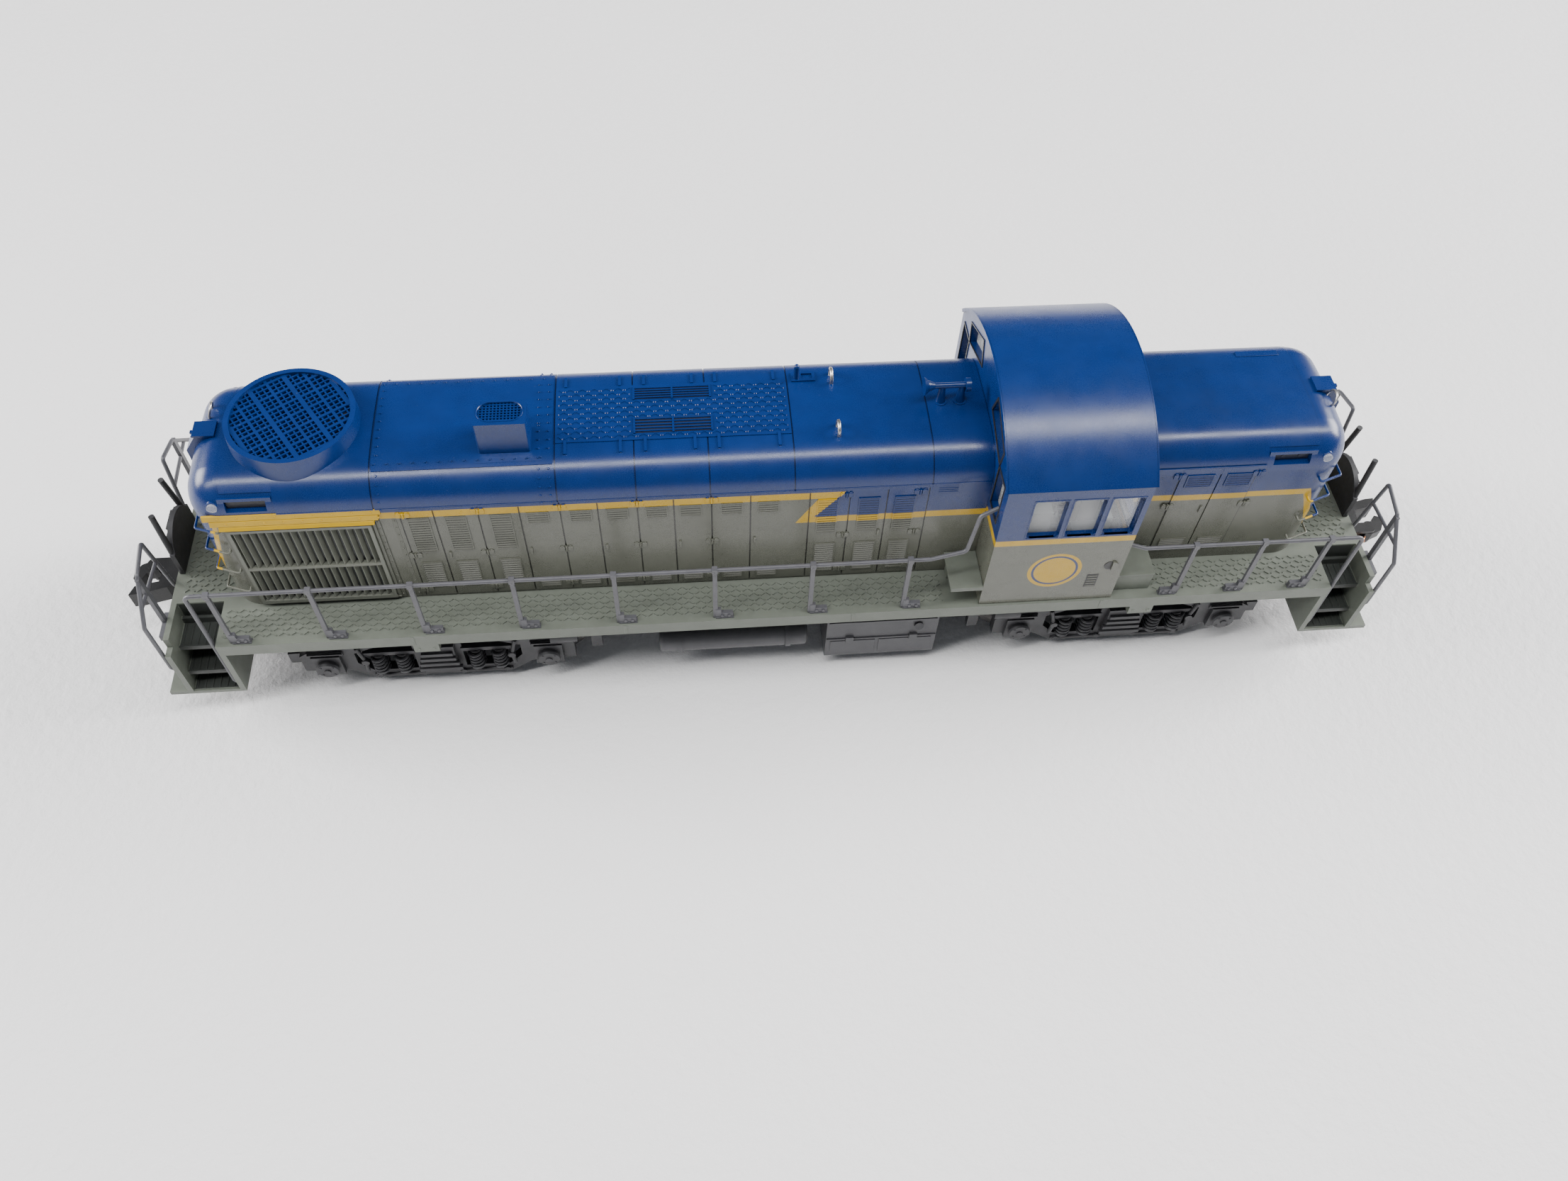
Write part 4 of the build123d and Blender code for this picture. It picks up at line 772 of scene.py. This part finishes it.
def tread(mesh, x0, x1, y0, y1, height, skip=(), pitch=0.80, lift=0.11):
    """Raised bars leaning alternately left and right."""
    rows = int((y1 - y0) / pitch)
    columns = int((x1 - x0) / pitch)
    for row in range(rows):
        for column in range(columns):
            x = x0 + (column + 0.5) * (x1 - x0) / columns
            y = y0 + (row + 0.5) * (y1 - y0) / rows
            if any(a - 0.35 < x < b + 0.35 and c - 0.35 < y < d + 0.35 for a, b, c, d in skip):
                continue
            along, across = turned(TREAD_LEAN if (row + column) % 2 else -TREAD_LEAN)
            middle = Vector((x, y, height(y) - 0.03))
            low = around(middle, along * 0.40, across * 0.11)
            rise = Vector((0, 0, lift + 0.03))
            high = [middle + rise + (p - middle) * 0.72 for p in low]
            mesh.hexa([tuple(p) for p in low], [tuple(p) for p in high])


plate = Mesh()
band = [(-TREAD_Y, *roof_point(-TREAD_Y)), (-2.5, *roof_point(-2.5)), (0, *roof_point(0)),
        (2.5, *roof_point(2.5)), (TREAD_Y, *roof_point(TREAD_Y))]
skin(plate, *TREAD_X, [(y, z, n[0], n[1]) for y, z, n in band], 0.12, SKIN)
tread(plate, TREAD_X[0] + 0.3, TREAD_X[1] - 0.3, -TREAD_Y + 0.3, TREAD_Y - 0.3,
      lambda y: roof_point(abs(y), SKIN + 0.12)[0], GRILLES)
CLIP_X = (-30.0, -22.7, -19.4, -12.8, -9.6, -1.5)
for side, y0, y1 in ((-1, 4.7, 6.9), (1, 5.0, 7.0)):
    low_z = roof_point(y1, SKIN)[0]
    high_z = roof_point(y0, SKIN)[0]
    for x in CLIP_X:
        spot = (x - 0.2, x + 0.2, side * y0, side * y1)
        plate.hexa(sloped(*spot, high_z - 0.3, low_z - 0.3), sloped(*spot, high_z + 0.24, low_z + 0.24))
plate.piece("roof_tread_plate", BLUE_PAINT, smooth=0)

# Dark blue wells under the grille bars: painted shade.
wells = Mesh()
bars = Mesh()
for x0, x1, y0, y1 in GRILLES:
    inner = min(abs(y0), abs(y1))
    outer = max(abs(y0), abs(y1))
    low_z = roof_point(outer, SKIN + 0.13)[0]
    high_z = roof_point(inner, SKIN + 0.13)[0]
    side = 1 if y0 > 0 else -1
    spot = (x0, x1, side * inner, side * outer)
    wells.hexa(sloped(*spot, high_z - 0.3, low_z - 0.3), sloped(*spot, high_z + 0.02, low_z + 0.02))
    for i in range(5):
        t = (i + 0.5) / 5
        y = side * (inner + (outer - inner) * t)
        z = high_z + (low_z - high_z) * t
        bars.box(x0, x1, y - 0.08, y + 0.08, z, z + 0.16)
    for x in (x0, (x0 + x1) / 2, x1):
        spot = (x - 0.13, x + 0.13, side * (inner - 0.1), side * (outer + 0.1))
        bars.hexa(sloped(*spot, high_z, low_z), sloped(*spot, high_z + 0.14, low_z + 0.14))
wells.piece("roof_grille_wells", SHADED_BLUE)
bars.piece("roof_grille_bars", BLUE_PAINT)

rivets = Mesh()


def roof_rivet(x, y, lift=SKIN + 0.10):
    z, normal = roof_point(y, lift)
    rivets.disc((x, y, z), (0, normal[0], normal[1]), 0.20, 0.20, 10, 0.6)


RIVET_PITCH = 1.66
RIVET_ROWS = (-54.45, -33.5, -32.2)
CORNER_R = HOOD_CORNER + SKIN - 0.03
for side in (-1, 1):
    for i in range(14):
        roof_rivet(-54.7 + i * RIVET_PITCH, side * 7.14)
    for x in RIVET_ROWS:
        for i in range(5):
            angle = math.radians(6 + i * 13)
            y = side * (HOOD_Y - HOOD_CORNER + CORNER_R * math.cos(angle))
            z = SHOULDER_Z + CORNER_R * math.sin(angle)
            rivets.disc((x, y, z), (0, side * math.cos(angle), math.sin(angle)), 0.19, 0.18, 10, 0.6)
for x in RIVET_ROWS:
    for i in range(-4, 5):
        roof_rivet(x, i * 1.45)
rivets.piece("roof_rivets", BLUE_PAINT)

guard = Mesh()
TURN = math.radians(33)
GUARD_R = FAN_R - 1.0
GUARD_TOP = FAN_HIGH.z - 0.32
MESH_PITCH = 0.8


def guard_bar(offset, turn, half_width, low, high):
    """Bar across the fan opening at a distance from its middle."""
    reach = math.sqrt(max(GUARD_R ** 2 - offset ** 2, 0.2))
    along, across = turned(turn)
    middle = Vector((FAN_X, 0, 0)) + across * offset
    corners = around(middle, along * reach, across * half_width)
    guard.hexa([(p.x, p.y, low) for p in corners], [(p.x, p.y, high) for p in corners])


for i in range(-9, 10):
    offset = i * MESH_PITCH
    if i % 3:
        guard_bar(offset, TURN, 0.11, GUARD_TOP - 0.35, GUARD_TOP)
        guard_bar(offset, TURN + math.pi / 2, 0.11, GUARD_TOP - 0.35, GUARD_TOP - 0.04)
for i in (-3, -1, 1, 3):
    guard_bar(i * 3 * MESH_PITCH, TURN + math.pi / 2, 0.33, GUARD_TOP - 0.30, GUARD_TOP + 0.06)
guard.piece("fan_fine_mesh", BLUE_PAINT)

# Fan blades and the disc under them in dark blue: painted shade in the fan well.
fan = Mesh()
for i in range(6):
    along, across = turned(math.radians(60 * i))
    base = Vector((FAN_X, 0, 43.0))
    low = [base + along * 1.3 - across * 0.9,
           base + along * 6.9 - across * 1.6,
           base + along * 6.9 + across * 1.6 + Vector((0, 0, 0.9)),
           base + along * 1.3 + across * 0.9 + Vector((0, 0, 0.6))]
    fan.hexa([tuple(p) for p in low], [tuple(p + Vector((0, 0, 0.22))) for p in low])
fan.disc((FAN_X, 0, 42.9), (0, 0, 1), 1.6, 1.2, 20, 0.8)
fan.disc((FAN_X, 0, 42.55), (0, 0, 1), 7.3, 0.2, 32)
fan.piece("fan_blades", SHADED_BLUE)

stack = Mesh()
MOUTH = Vector((-37.8, -3.95))        # middle of the stack's mouth
MOUTH_STRAIGHT = 1.25                 # half length between its two round ends
MOUTH_R = 1.6
MOUTH_Z = STACK_HIGH.z - 0.22
MOUTH_PITCH = 0.45
RIM_R = 1.72


def mouth_reach(along):
    """Half width of the mouth at a distance along it."""
    past = max(abs(along) - MOUTH_STRAIGHT, 0)
    return math.sqrt(max(MOUTH_R ** 2 - past ** 2, 0))


for i in range(-6, 7):
    x = MOUTH.x + i * MOUTH_PITCH
    reach = mouth_reach(i * MOUTH_PITCH)
    stack.box(x - 0.09, x + 0.09, MOUTH.y - reach, MOUTH.y + reach, MOUTH_Z - 0.12, MOUTH_Z + 0.02)
for i in range(-3, 4):
    y = MOUTH.y + i * MOUTH_PITCH
    reach = MOUTH_STRAIGHT + math.sqrt(MOUTH_R ** 2 - (i * MOUTH_PITCH) ** 2)
    stack.box(MOUTH.x - reach, MOUTH.x + reach, y - 0.09, y + 0.09, MOUTH_Z - 0.12, MOUTH_Z + 0.05)
rim = []
for i in range(40):
    angle = 2 * math.pi * i / 40
    straight = math.copysign(MOUTH_STRAIGHT, math.cos(angle))
    x = MOUTH.x + straight + RIM_R * math.cos(angle)
    rim.append((x, MOUTH.y + RIM_R * math.sin(angle), STACK_HIGH.z - 0.03))
stack.tube(rim, 0.12, 6, closed=True)
for i in range(6):
    x = STACK_LOW.x + 0.5 + i * (STACK_HIGH.x - STACK_LOW.x - 1.0) / 5
    for y in (STACK_LOW.y + 0.4, STACK_HIGH.y - 0.4):
        z, normal = roof_point(y, 0.22)
        stack.disc((x, y, z), (0, normal[0], normal[1]), 0.17, 0.17, 8, 0.6)
stack.piece("stack_mesh_top", BLUE_PAINT)

fittings = Mesh()
# Hatch on the far shoulder of the short hood.
z = roof_point(6.6, SKIN)[0]
fittings.box(65.2, 71.4, 6.1, 7.1, z - 0.4, z + 0.18)
# Class light rings, one on each side of both ends.
for x in (-75.6, 74.4):
    for side in (-1, 1):
        fittings.disc((x, side * 10.0, 39.6), (0, side, 0.25), 0.85, 0.55, 20, 0.85)
fittings.piece("hood_fittings", HOOD, bevel=0.03)

boards = Mesh()
# Pockets on the short hood in dark blue: painted shade in the recesses.
pockets = Mesh()
for side in (-1, 1):
    boards.prism(rect(-73.9, -68.9, 38.9, 40.2), on_side(side, wall=9.86), 0.2)
    pockets.prism(rect(66.9, 71.9, 38.9, 40.2), on_side(side, wall=9.84), 0.04)
    for x in (68.2, 70.6):
        pockets.disc((x, side * 9.86, 39.6), (0, side, 0), 0.30, 0.10, 12)
boards.piece("number_panels", BLACK)
pockets.piece("board_pockets", SHADED_BLUE)

eyelets = Mesh()
EYELET_R = 1.1
for x, y, z in ((76.5, -2.3, 42.7), (-77.0, 3.6, 43.0)):
    ring = []
    for i in range(24):
        a = 2 * math.pi * i / 24
        ring.append((x + 0.35 * math.sin(a), y + EYELET_R * math.cos(a), z + EYELET_R * math.sin(a)))
    eyelets.tube(ring, 0.17, 8, closed=True)
eyelets.piece("lifting_eyelets", WIRE)

# ---- Cab ----


def cab_arc(y):
    """Point and normal on the cab roof arc at y."""
    rise = CAB_HIGH.z - CAB_EAVE_Z
    radius = (CAB_Y ** 2 + rise ** 2) / (2 * rise)
    centre = CAB_HIGH.z - radius
    angle = math.asin(max(-1, min(1, y / radius)))
    return radius * math.sin(angle), centre + radius * math.cos(angle), math.sin(angle), math.cos(angle)


cab_skin = Mesh()
arc = [cab_arc(CAB_Y * (i / 24 * 2 - 1)) for i in range(25)]
skin(cab_skin, CAB_LOW.x - 0.14, CAB_HIGH.x + 0.14, arc, 0.14)
for x0, x1 in ((CAB_LOW.x - 0.30, CAB_LOW.x - 0.06), (CAB_HIGH.x + 0.06, CAB_HIGH.x + 0.30)):
    skin(cab_skin, x0, x1, arc, 0.50, -0.36)
cab_skin.piece("cab_roof_sheet", CAB, smooth=40)

cab_trim = Mesh()
WINDOWS = ((31.5, 36.0), (36.8, 41.2), (42.0, 46.4))
for side in (-1, 1):
    y_in = side * (CAB_Y - 0.4)
    y_out = side * (CAB_Y + 0.07)
    for x0, x1 in WINDOWS:
        for a, b, c, d in ((x0 - 0.18, x0, 33.4, 41.6), (x1, x1 + 0.18, 33.4, 41.6),
                           (x0, x1, 33.4, 33.6), (x0, x1, 41.4, 41.6)):
            cab_trim.box(a, b, y_in, y_out, c, d)
        for x, z, sx, sz in ((x0, 33.6, 1, 1), (x1, 33.6, -1, 1), (x0, 41.4, 1, -1), (x1, 41.4, -1, -1)):
            cab_trim.prism([(x, z), (x + sx * 0.55, z), (x + sx * 0.16, z + sz * 0.16), (x, z + sz * 0.55)],
                           on_side(side, -0.6, CAB_Y), 0.6)
    # Half-round vent, level grille and sill strip.
    angles = [math.pi * i / 10 for i in range(11)]
    half_round = [(45.4 + 0.95 * math.sin(a), 26.3 + 0.95 * math.cos(a)) for a in angles]
    cab_trim.prism(half_round, on_side(side, -0.05, CAB_Y), 0.35)
    for i in range(5):
        z = 21.5 + i * 0.58
        cab_trim.box(42.5, 43.9, side * (CAB_Y - 0.1), side * (CAB_Y + 0.10), z, z + 0.2)
    cab_trim.box(CAB_LOW.x, CAB_HIGH.x, side * (CAB_Y - 0.2), side * (CAB_Y + 0.05), DECK_Z, DECK_Z + 0.5)
cab_trim.piece("cab_trim", CAB, bevel=0.03)

# Black plates behind the cab's level grille and half-round vent: painted shade in the vent openings.
cab_vent_shade = Mesh()
for side in (-1, 1):
    cab_vent_shade.box(42.35, 44.05, side * (CAB_Y - 0.2), side * (CAB_Y + 0.03), 21.3, 24.3)
    cab_vent_shade.disc((45.2, side * CAB_Y, 26.3), (0, side, 0), 0.9, 0.06, 18)
cab_vent_shade.piece("cab_vent_painted_shade", BLACK)

frames = Mesh()
TALL = ((11.9, 35.2), (15.6, 35.2), (15.6, 42.4), (11.9, 42.4))
HIGH = ((4.2, 45.2), (11.6, 42.6), (12.2, 45.6), (5.6, 48.6))
for side in (-1, 1):
    for x0, x1 in ((CAB_LOW.x - 0.12, CAB_LOW.x + 0.1), (CAB_HIGH.x - 0.1, CAB_HIGH.x + 0.12)):
        for outline in (TALL, HIGH):
            middle = (sum(p[0] for p in outline) / 4, sum(p[1] for p in outline) / 4)
            for i in range(4):
                p, q = outline[i], outline[(i + 1) % 4]
                grow = [(a[0] + (a[0] - middle[0]) * 0.10, a[1] + (a[1] - middle[1]) * 0.08) for a in (p, q)]
                ring = [p, q, grow[1], grow[0]]
                frames.prism(ring, lambda u, v, w: (x0 + w, side * u, v), x1 - x0)
frames.piece("end_window_frames", BLACK)

# ---- Walkway ----
walk = Mesh()
WALK_PITCH = 0.86
WALK_LIFT = 0.15
LEDGE_SPACE = ((-78.9, -53.0, -HOOD_Y - 0.6, HOOD_Y + 0.6),)    # kept clear beside the shutters
for side in (-1, 1):
    low, high = sorted((side * 11.5, side * 16.7))
    for x0, x1 in ((-80.4, 22.4), (53.8, 80.4)):
        tread(walk, x0, x1, low, high, lambda y: DECK_Z, LEDGE_SPACE, WALK_PITCH, WALK_LIFT)
for x0, x1 in ((-87.0, LONG_LOW.x - 0.4), (SHORT_HIGH.x + 0.4, 87.0)):
    tread(walk, x0, x1, -9.2, 9.2, lambda y: DECK_Z, (), WALK_PITCH, WALK_LIFT)
walk.piece("walkway_tread", DECK, smooth=0)

edging = Mesh()
for side in (-1, 1):
    # Joint lines of the side sill, tabs over the trucks and the box lids beside the cab.
    y_in = side * (DECK_HIGH.y - 0.3)
    y_face = side * (DECK_HIGH.y + 0.08)
    for x in (-54.0, -24.0, 9.0, 45.9):
        edging.box(x - 0.25, x + 0.25, y_in, y_face, DECK_Z - 2.1, DECK_Z - 0.1)
    for x0, x1, y_out, top in ((CAB_HIGH.x + 0.05, 53.3, 16.35, 3.6), (22.7, CAB_LOW.x - 0.05, 17.7, 4.4)):
        edging.box(x0, x1, side * (HOOD_Y + 0.15), side * y_out, DECK_Z + top - 0.02, DECK_Z + top + 0.16)
    for x in (-TRUCK_X, TRUCK_X):
        for dx in (-1.1, 1.1):
            edging.disc((x + dx, side * (DECK_HIGH.y - 0.02), 15.0), (0, side, 0), 0.26, 0.16, 8, 0.7)
edging.piece("sill_details", DECK, bevel=0.04)

STANCHIONS = [(x, 1) for x in (-78.6, -65.4, -52.0, -38.5, -24.8, -11.0, 2.6, 16.2)]
STANCHIONS += [(x, -1) for x in (57.0, 67.0, 76.8)]
RAIL_Y = 17.15
for node, side in (("right_handrails", -1), ("left_handrails", 1)):
    bolts = Mesh()
    for x, toe in STANCHIONS:
        y = side * RAIL_Y
        bolts.box(x, x + toe * 2.6, y - 0.42, y + 0.42, DECK_Z, DECK_Z + 0.22)
        for dx in (0.95, 1.95):
            bolts.disc((x + toe * dx, y - 0.28, DECK_Z + 0.62), (0, -1, 0), 0.24, 0.22, 6)
            bolts.disc((x + toe * dx, y + 0.28, DECK_Z + 0.62), (0, 1, 0), 0.24, 0.22, 6)
        bolts.disc((x, y, 28.9), (0, 0, 1), 0.44, 0.5, 10)
    bolts.piece(f"{node}_bolts", RAIL, bevel=0.02)

# ---- Ends: pilot fittings, coupler springs and step edges ----


def coil(mesh, a, b, radius, wire, turns, sides=6):
    """Open coil spring from a to b."""
    a, b = Vector(a), Vector(b)
    axis = (b - a).normalized()
    across = axis.orthogonal().normalized()
    other = axis.cross(across)
    points = []
    for i in range(turns * 12 + 1):
        angle = 2 * math.pi * i / 12
        ring = across * math.cos(angle) + other * math.sin(angle)
        points.append(a + (b - a) * (i / (turns * 12)) + ring * radius)
    mesh.tube(points, wire, sides)


PILOT_X = 88.4                        # outer face of each pilot
for end, out in (("front", 1), ("rear", -1)):
    spring = Mesh()
    coil(spring, (out * 91.9, out * -3.55, 10.5), (out * 94.6, out * -3.75, 10.5), 0.42, 0.11, 6)
    spring.piece(f"{end}_knuckle_spring", COPPER, f"{end}_coupler_body")
    plates = Mesh()
    for side in (-1, 1):
        for y, z, w, h in ((6.6, 12.4, 1.5, 0.7), (8.6, 9.2, 1.1, 0.9), (6.4, 7.4, 0.8, 0.8)):
            plates.box(out * PILOT_X, out * (PILOT_X + 0.45), side * y, side * (y + w), z, z + h)
            plates.disc((out * (PILOT_X + 0.45), side * (y + w / 2), z + h / 2), (out, 0, 0), 0.3, 0.35, 10)
        plates.box(out * PILOT_X, out * (PILOT_X + 0.25), side * 4.7, side * 5.1, 7.2, 14.2)
        for z, y_back, y_front in ((14.0, 11.0, 15.2), (9.6, 12.6, 16.6), (6.4, 14.0, 17.7)):
            plates.box(out * 81.1, out * 87.5, side * (y_front - 0.25), side * (y_front - 0.02),
                       z + 0.6, z + 0.82)
            for k in range(6):
                x = out * (81.9 + k * 1.05)
                plates.box(x - 0.12, x + 0.12, side * (y_back + 0.1), side * (y_front - 0.3),
                           z + 0.6, z + 0.72)
    plates.box(out * PILOT_X, out * (PILOT_X + 0.25), -4.9, 4.9, 13.7, 14.1)
    plates.piece(f"{end}_pilot_fittings", DECK, bevel=0.03)

# ---- Trucks: bolster springs, journal lids, brake rods ----
LID_R = 1.25                          # bolt circle of a journal lid
for end, truck_x in (("front", TRUCK_X), ("rear", -TRUCK_X)):
    springs = Mesh()
    details = Mesh()
    for side in (-1, 1):
        for dx in (-8.9, -5.4, 5.4, 8.9):
            coil(springs, (truck_x + dx, side * 14.0, 3.9), (truck_x + dx, side * 14.0, 8.0), 0.95, 0.24, 5)
        for dx in (-AXLE_X, AXLE_X):
            x = truck_x + dx
            details.disc((x, side * 15.1, AXLE_Z), (0, side, 0), 1.75, 0.35, 24, 0.9)
            details.disc((x, side * 15.4, AXLE_Z), (0, side, 0), 0.5, 0.25, 10)
            for k in range(4):
                angle = math.radians(45 + 90 * k)
                spot = (x + LID_R * math.cos(angle), side * 15.35, AXLE_Z + LID_R * math.sin(angle))
                details.disc(spot, (0, side, 0), 0.2, 0.18, 6)
            details.box(x - 2.5, x + 2.5, side * 13.8, side * 14.5, 9.2, 9.5)
        for dx in (-11.6, 11.6):
            elbow = (truck_x + dx * 0.93, side * 14.3, 7.0)
            foot = (truck_x + dx * 0.95, side * 14.2, 4.4)
            details.tube([(truck_x + dx, side * 14.1, 10.2), elbow, foot], 0.32, 8)
            details.disc(elbow, (0, side, 0), 0.6, 0.4, 12)
        details.tube([(truck_x - 10.4, side * 14.0, 2.6), (truck_x + 10.4, side * 14.0, 2.6)], 0.3, 8)
        for dx in (-9.6, -3.0, 3.0, 9.6):
            details.disc((truck_x + dx, side * 13.85, 2.6), (0, side, 0), 0.5, 0.45, 8)
    springs.piece(f"{end}_truck_springs", TRUCK, f"{end}_truck")
    details.piece(f"{end}_truck_details", TRUCK, f"{end}_truck", bevel=0.03)

tank = Mesh()
TANK_LOW, TANK_HIGH = box_mm("fuel_tank")
for side in (-1, 1):
    for x0, x1 in ((TANK_LOW.x + 0.7, TANK_LOW.x + 7.6), (TANK_LOW.x + 8.2, TANK_HIGH.x - 0.7)):
        tank.box(x0, x1, side * 15.4, side * 15.62, 4.3, 7.3)
    tank.box(TANK_LOW.x + 0.3, TANK_HIGH.x - 0.3, side * 15.3, side * 15.72, 12.0, 12.4)
    tank.disc((TANK_HIGH.x - 3.0, side * 15.5, 10.6), (0, side, 0.4), 0.7, 0.5, 14)
tank.piece("tank_panels", TANK, bevel=0.04)

# ---- Floor, light and camera ----


def floor_material():
    n = Nodes("table", Specular_IOR_Level=0.35)
    tone = n.mix(n.ramp(n.noise(0.006, 3), 0.35, 0.65), (0.790, 0.785, 0.785), (0.830, 0.822, 0.822))
    grain = n.noise(0.55, 6, 0.6)
    return n.finish(tone, n.ramp(grain, 0.3, 0.7, 0.50, 0.62), grain, 0.75, 0.40)


floor_mesh = bpy.data.meshes.new("floor")
REACH = 1.6                           # metres from the middle to each edge
floor_mesh.from_pydata(sloped(-REACH, REACH, -REACH, REACH, 0, 0), [], [(0, 1, 2, 3)])
floor = bpy.data.objects.new("floor", floor_mesh)
bpy.context.scene.collection.objects.link(floor)
floor_mesh.materials.append(floor_material())
floor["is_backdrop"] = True

world = bpy.data.worlds.new("studio")
bpy.context.scene.world = world
world.use_nodes = True
background = world.node_tree.nodes["Background"]
background.inputs[0].default_value = (0.86, 0.91, 1.0, 1.0)
background.inputs[1].default_value = 0.22


def area(name, place, size, power, colour):
    """Rectangular light that points at the origin, in metres and watts."""
    data = bpy.data.lights.new(name, "AREA")
    data.shape = "RECTANGLE"
    data.size, data.size_y = size
    data.energy = power
    data.color = colour
    obj = bpy.data.objects.new(name, data)
    bpy.context.scene.collection.objects.link(obj)
    obj.location = place
    obj.rotation_euler = (-Vector(place)).to_track_quat("-Z", "Y").to_euler()


WHITE = (1.0, 1.0, 1.0)
WARM = (1.0, 0.985, 0.98)
area("strip", (0.05, -0.24, 0.95), (2.4, 0.07), 21.0, WHITE)
area("left_side", (-1.30, 0.30, 0.62), (0.8, 0.6), 34.0, WARM)
area("right_side", (1.30, 0.30, 0.62), (0.8, 0.6), 38.0, WARM)

camera_data = bpy.data.cameras.new("camera")
camera_data.sensor_width = 36.0
camera_data.lens = 28.90
camera_data.clip_start = 0.01
camera = bpy.data.objects.new("camera", camera_data)
bpy.context.scene.collection.objects.link(camera)
right = Vector((0.9958, -0.0861, 0.0323))
up = Vector((0.0518, 0.8158, 0.5760))
back = Vector((-0.0759, -0.5718, 0.8168))
turn = Matrix((right, up, back)).transposed().to_4x4()
camera.matrix_world = Matrix.Translation(Vector((-14.77, -118.75, 168.94)) * MM) @ turn
bpy.context.scene.camera = camera

bpy.context.view_layer.update()
low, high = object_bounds()
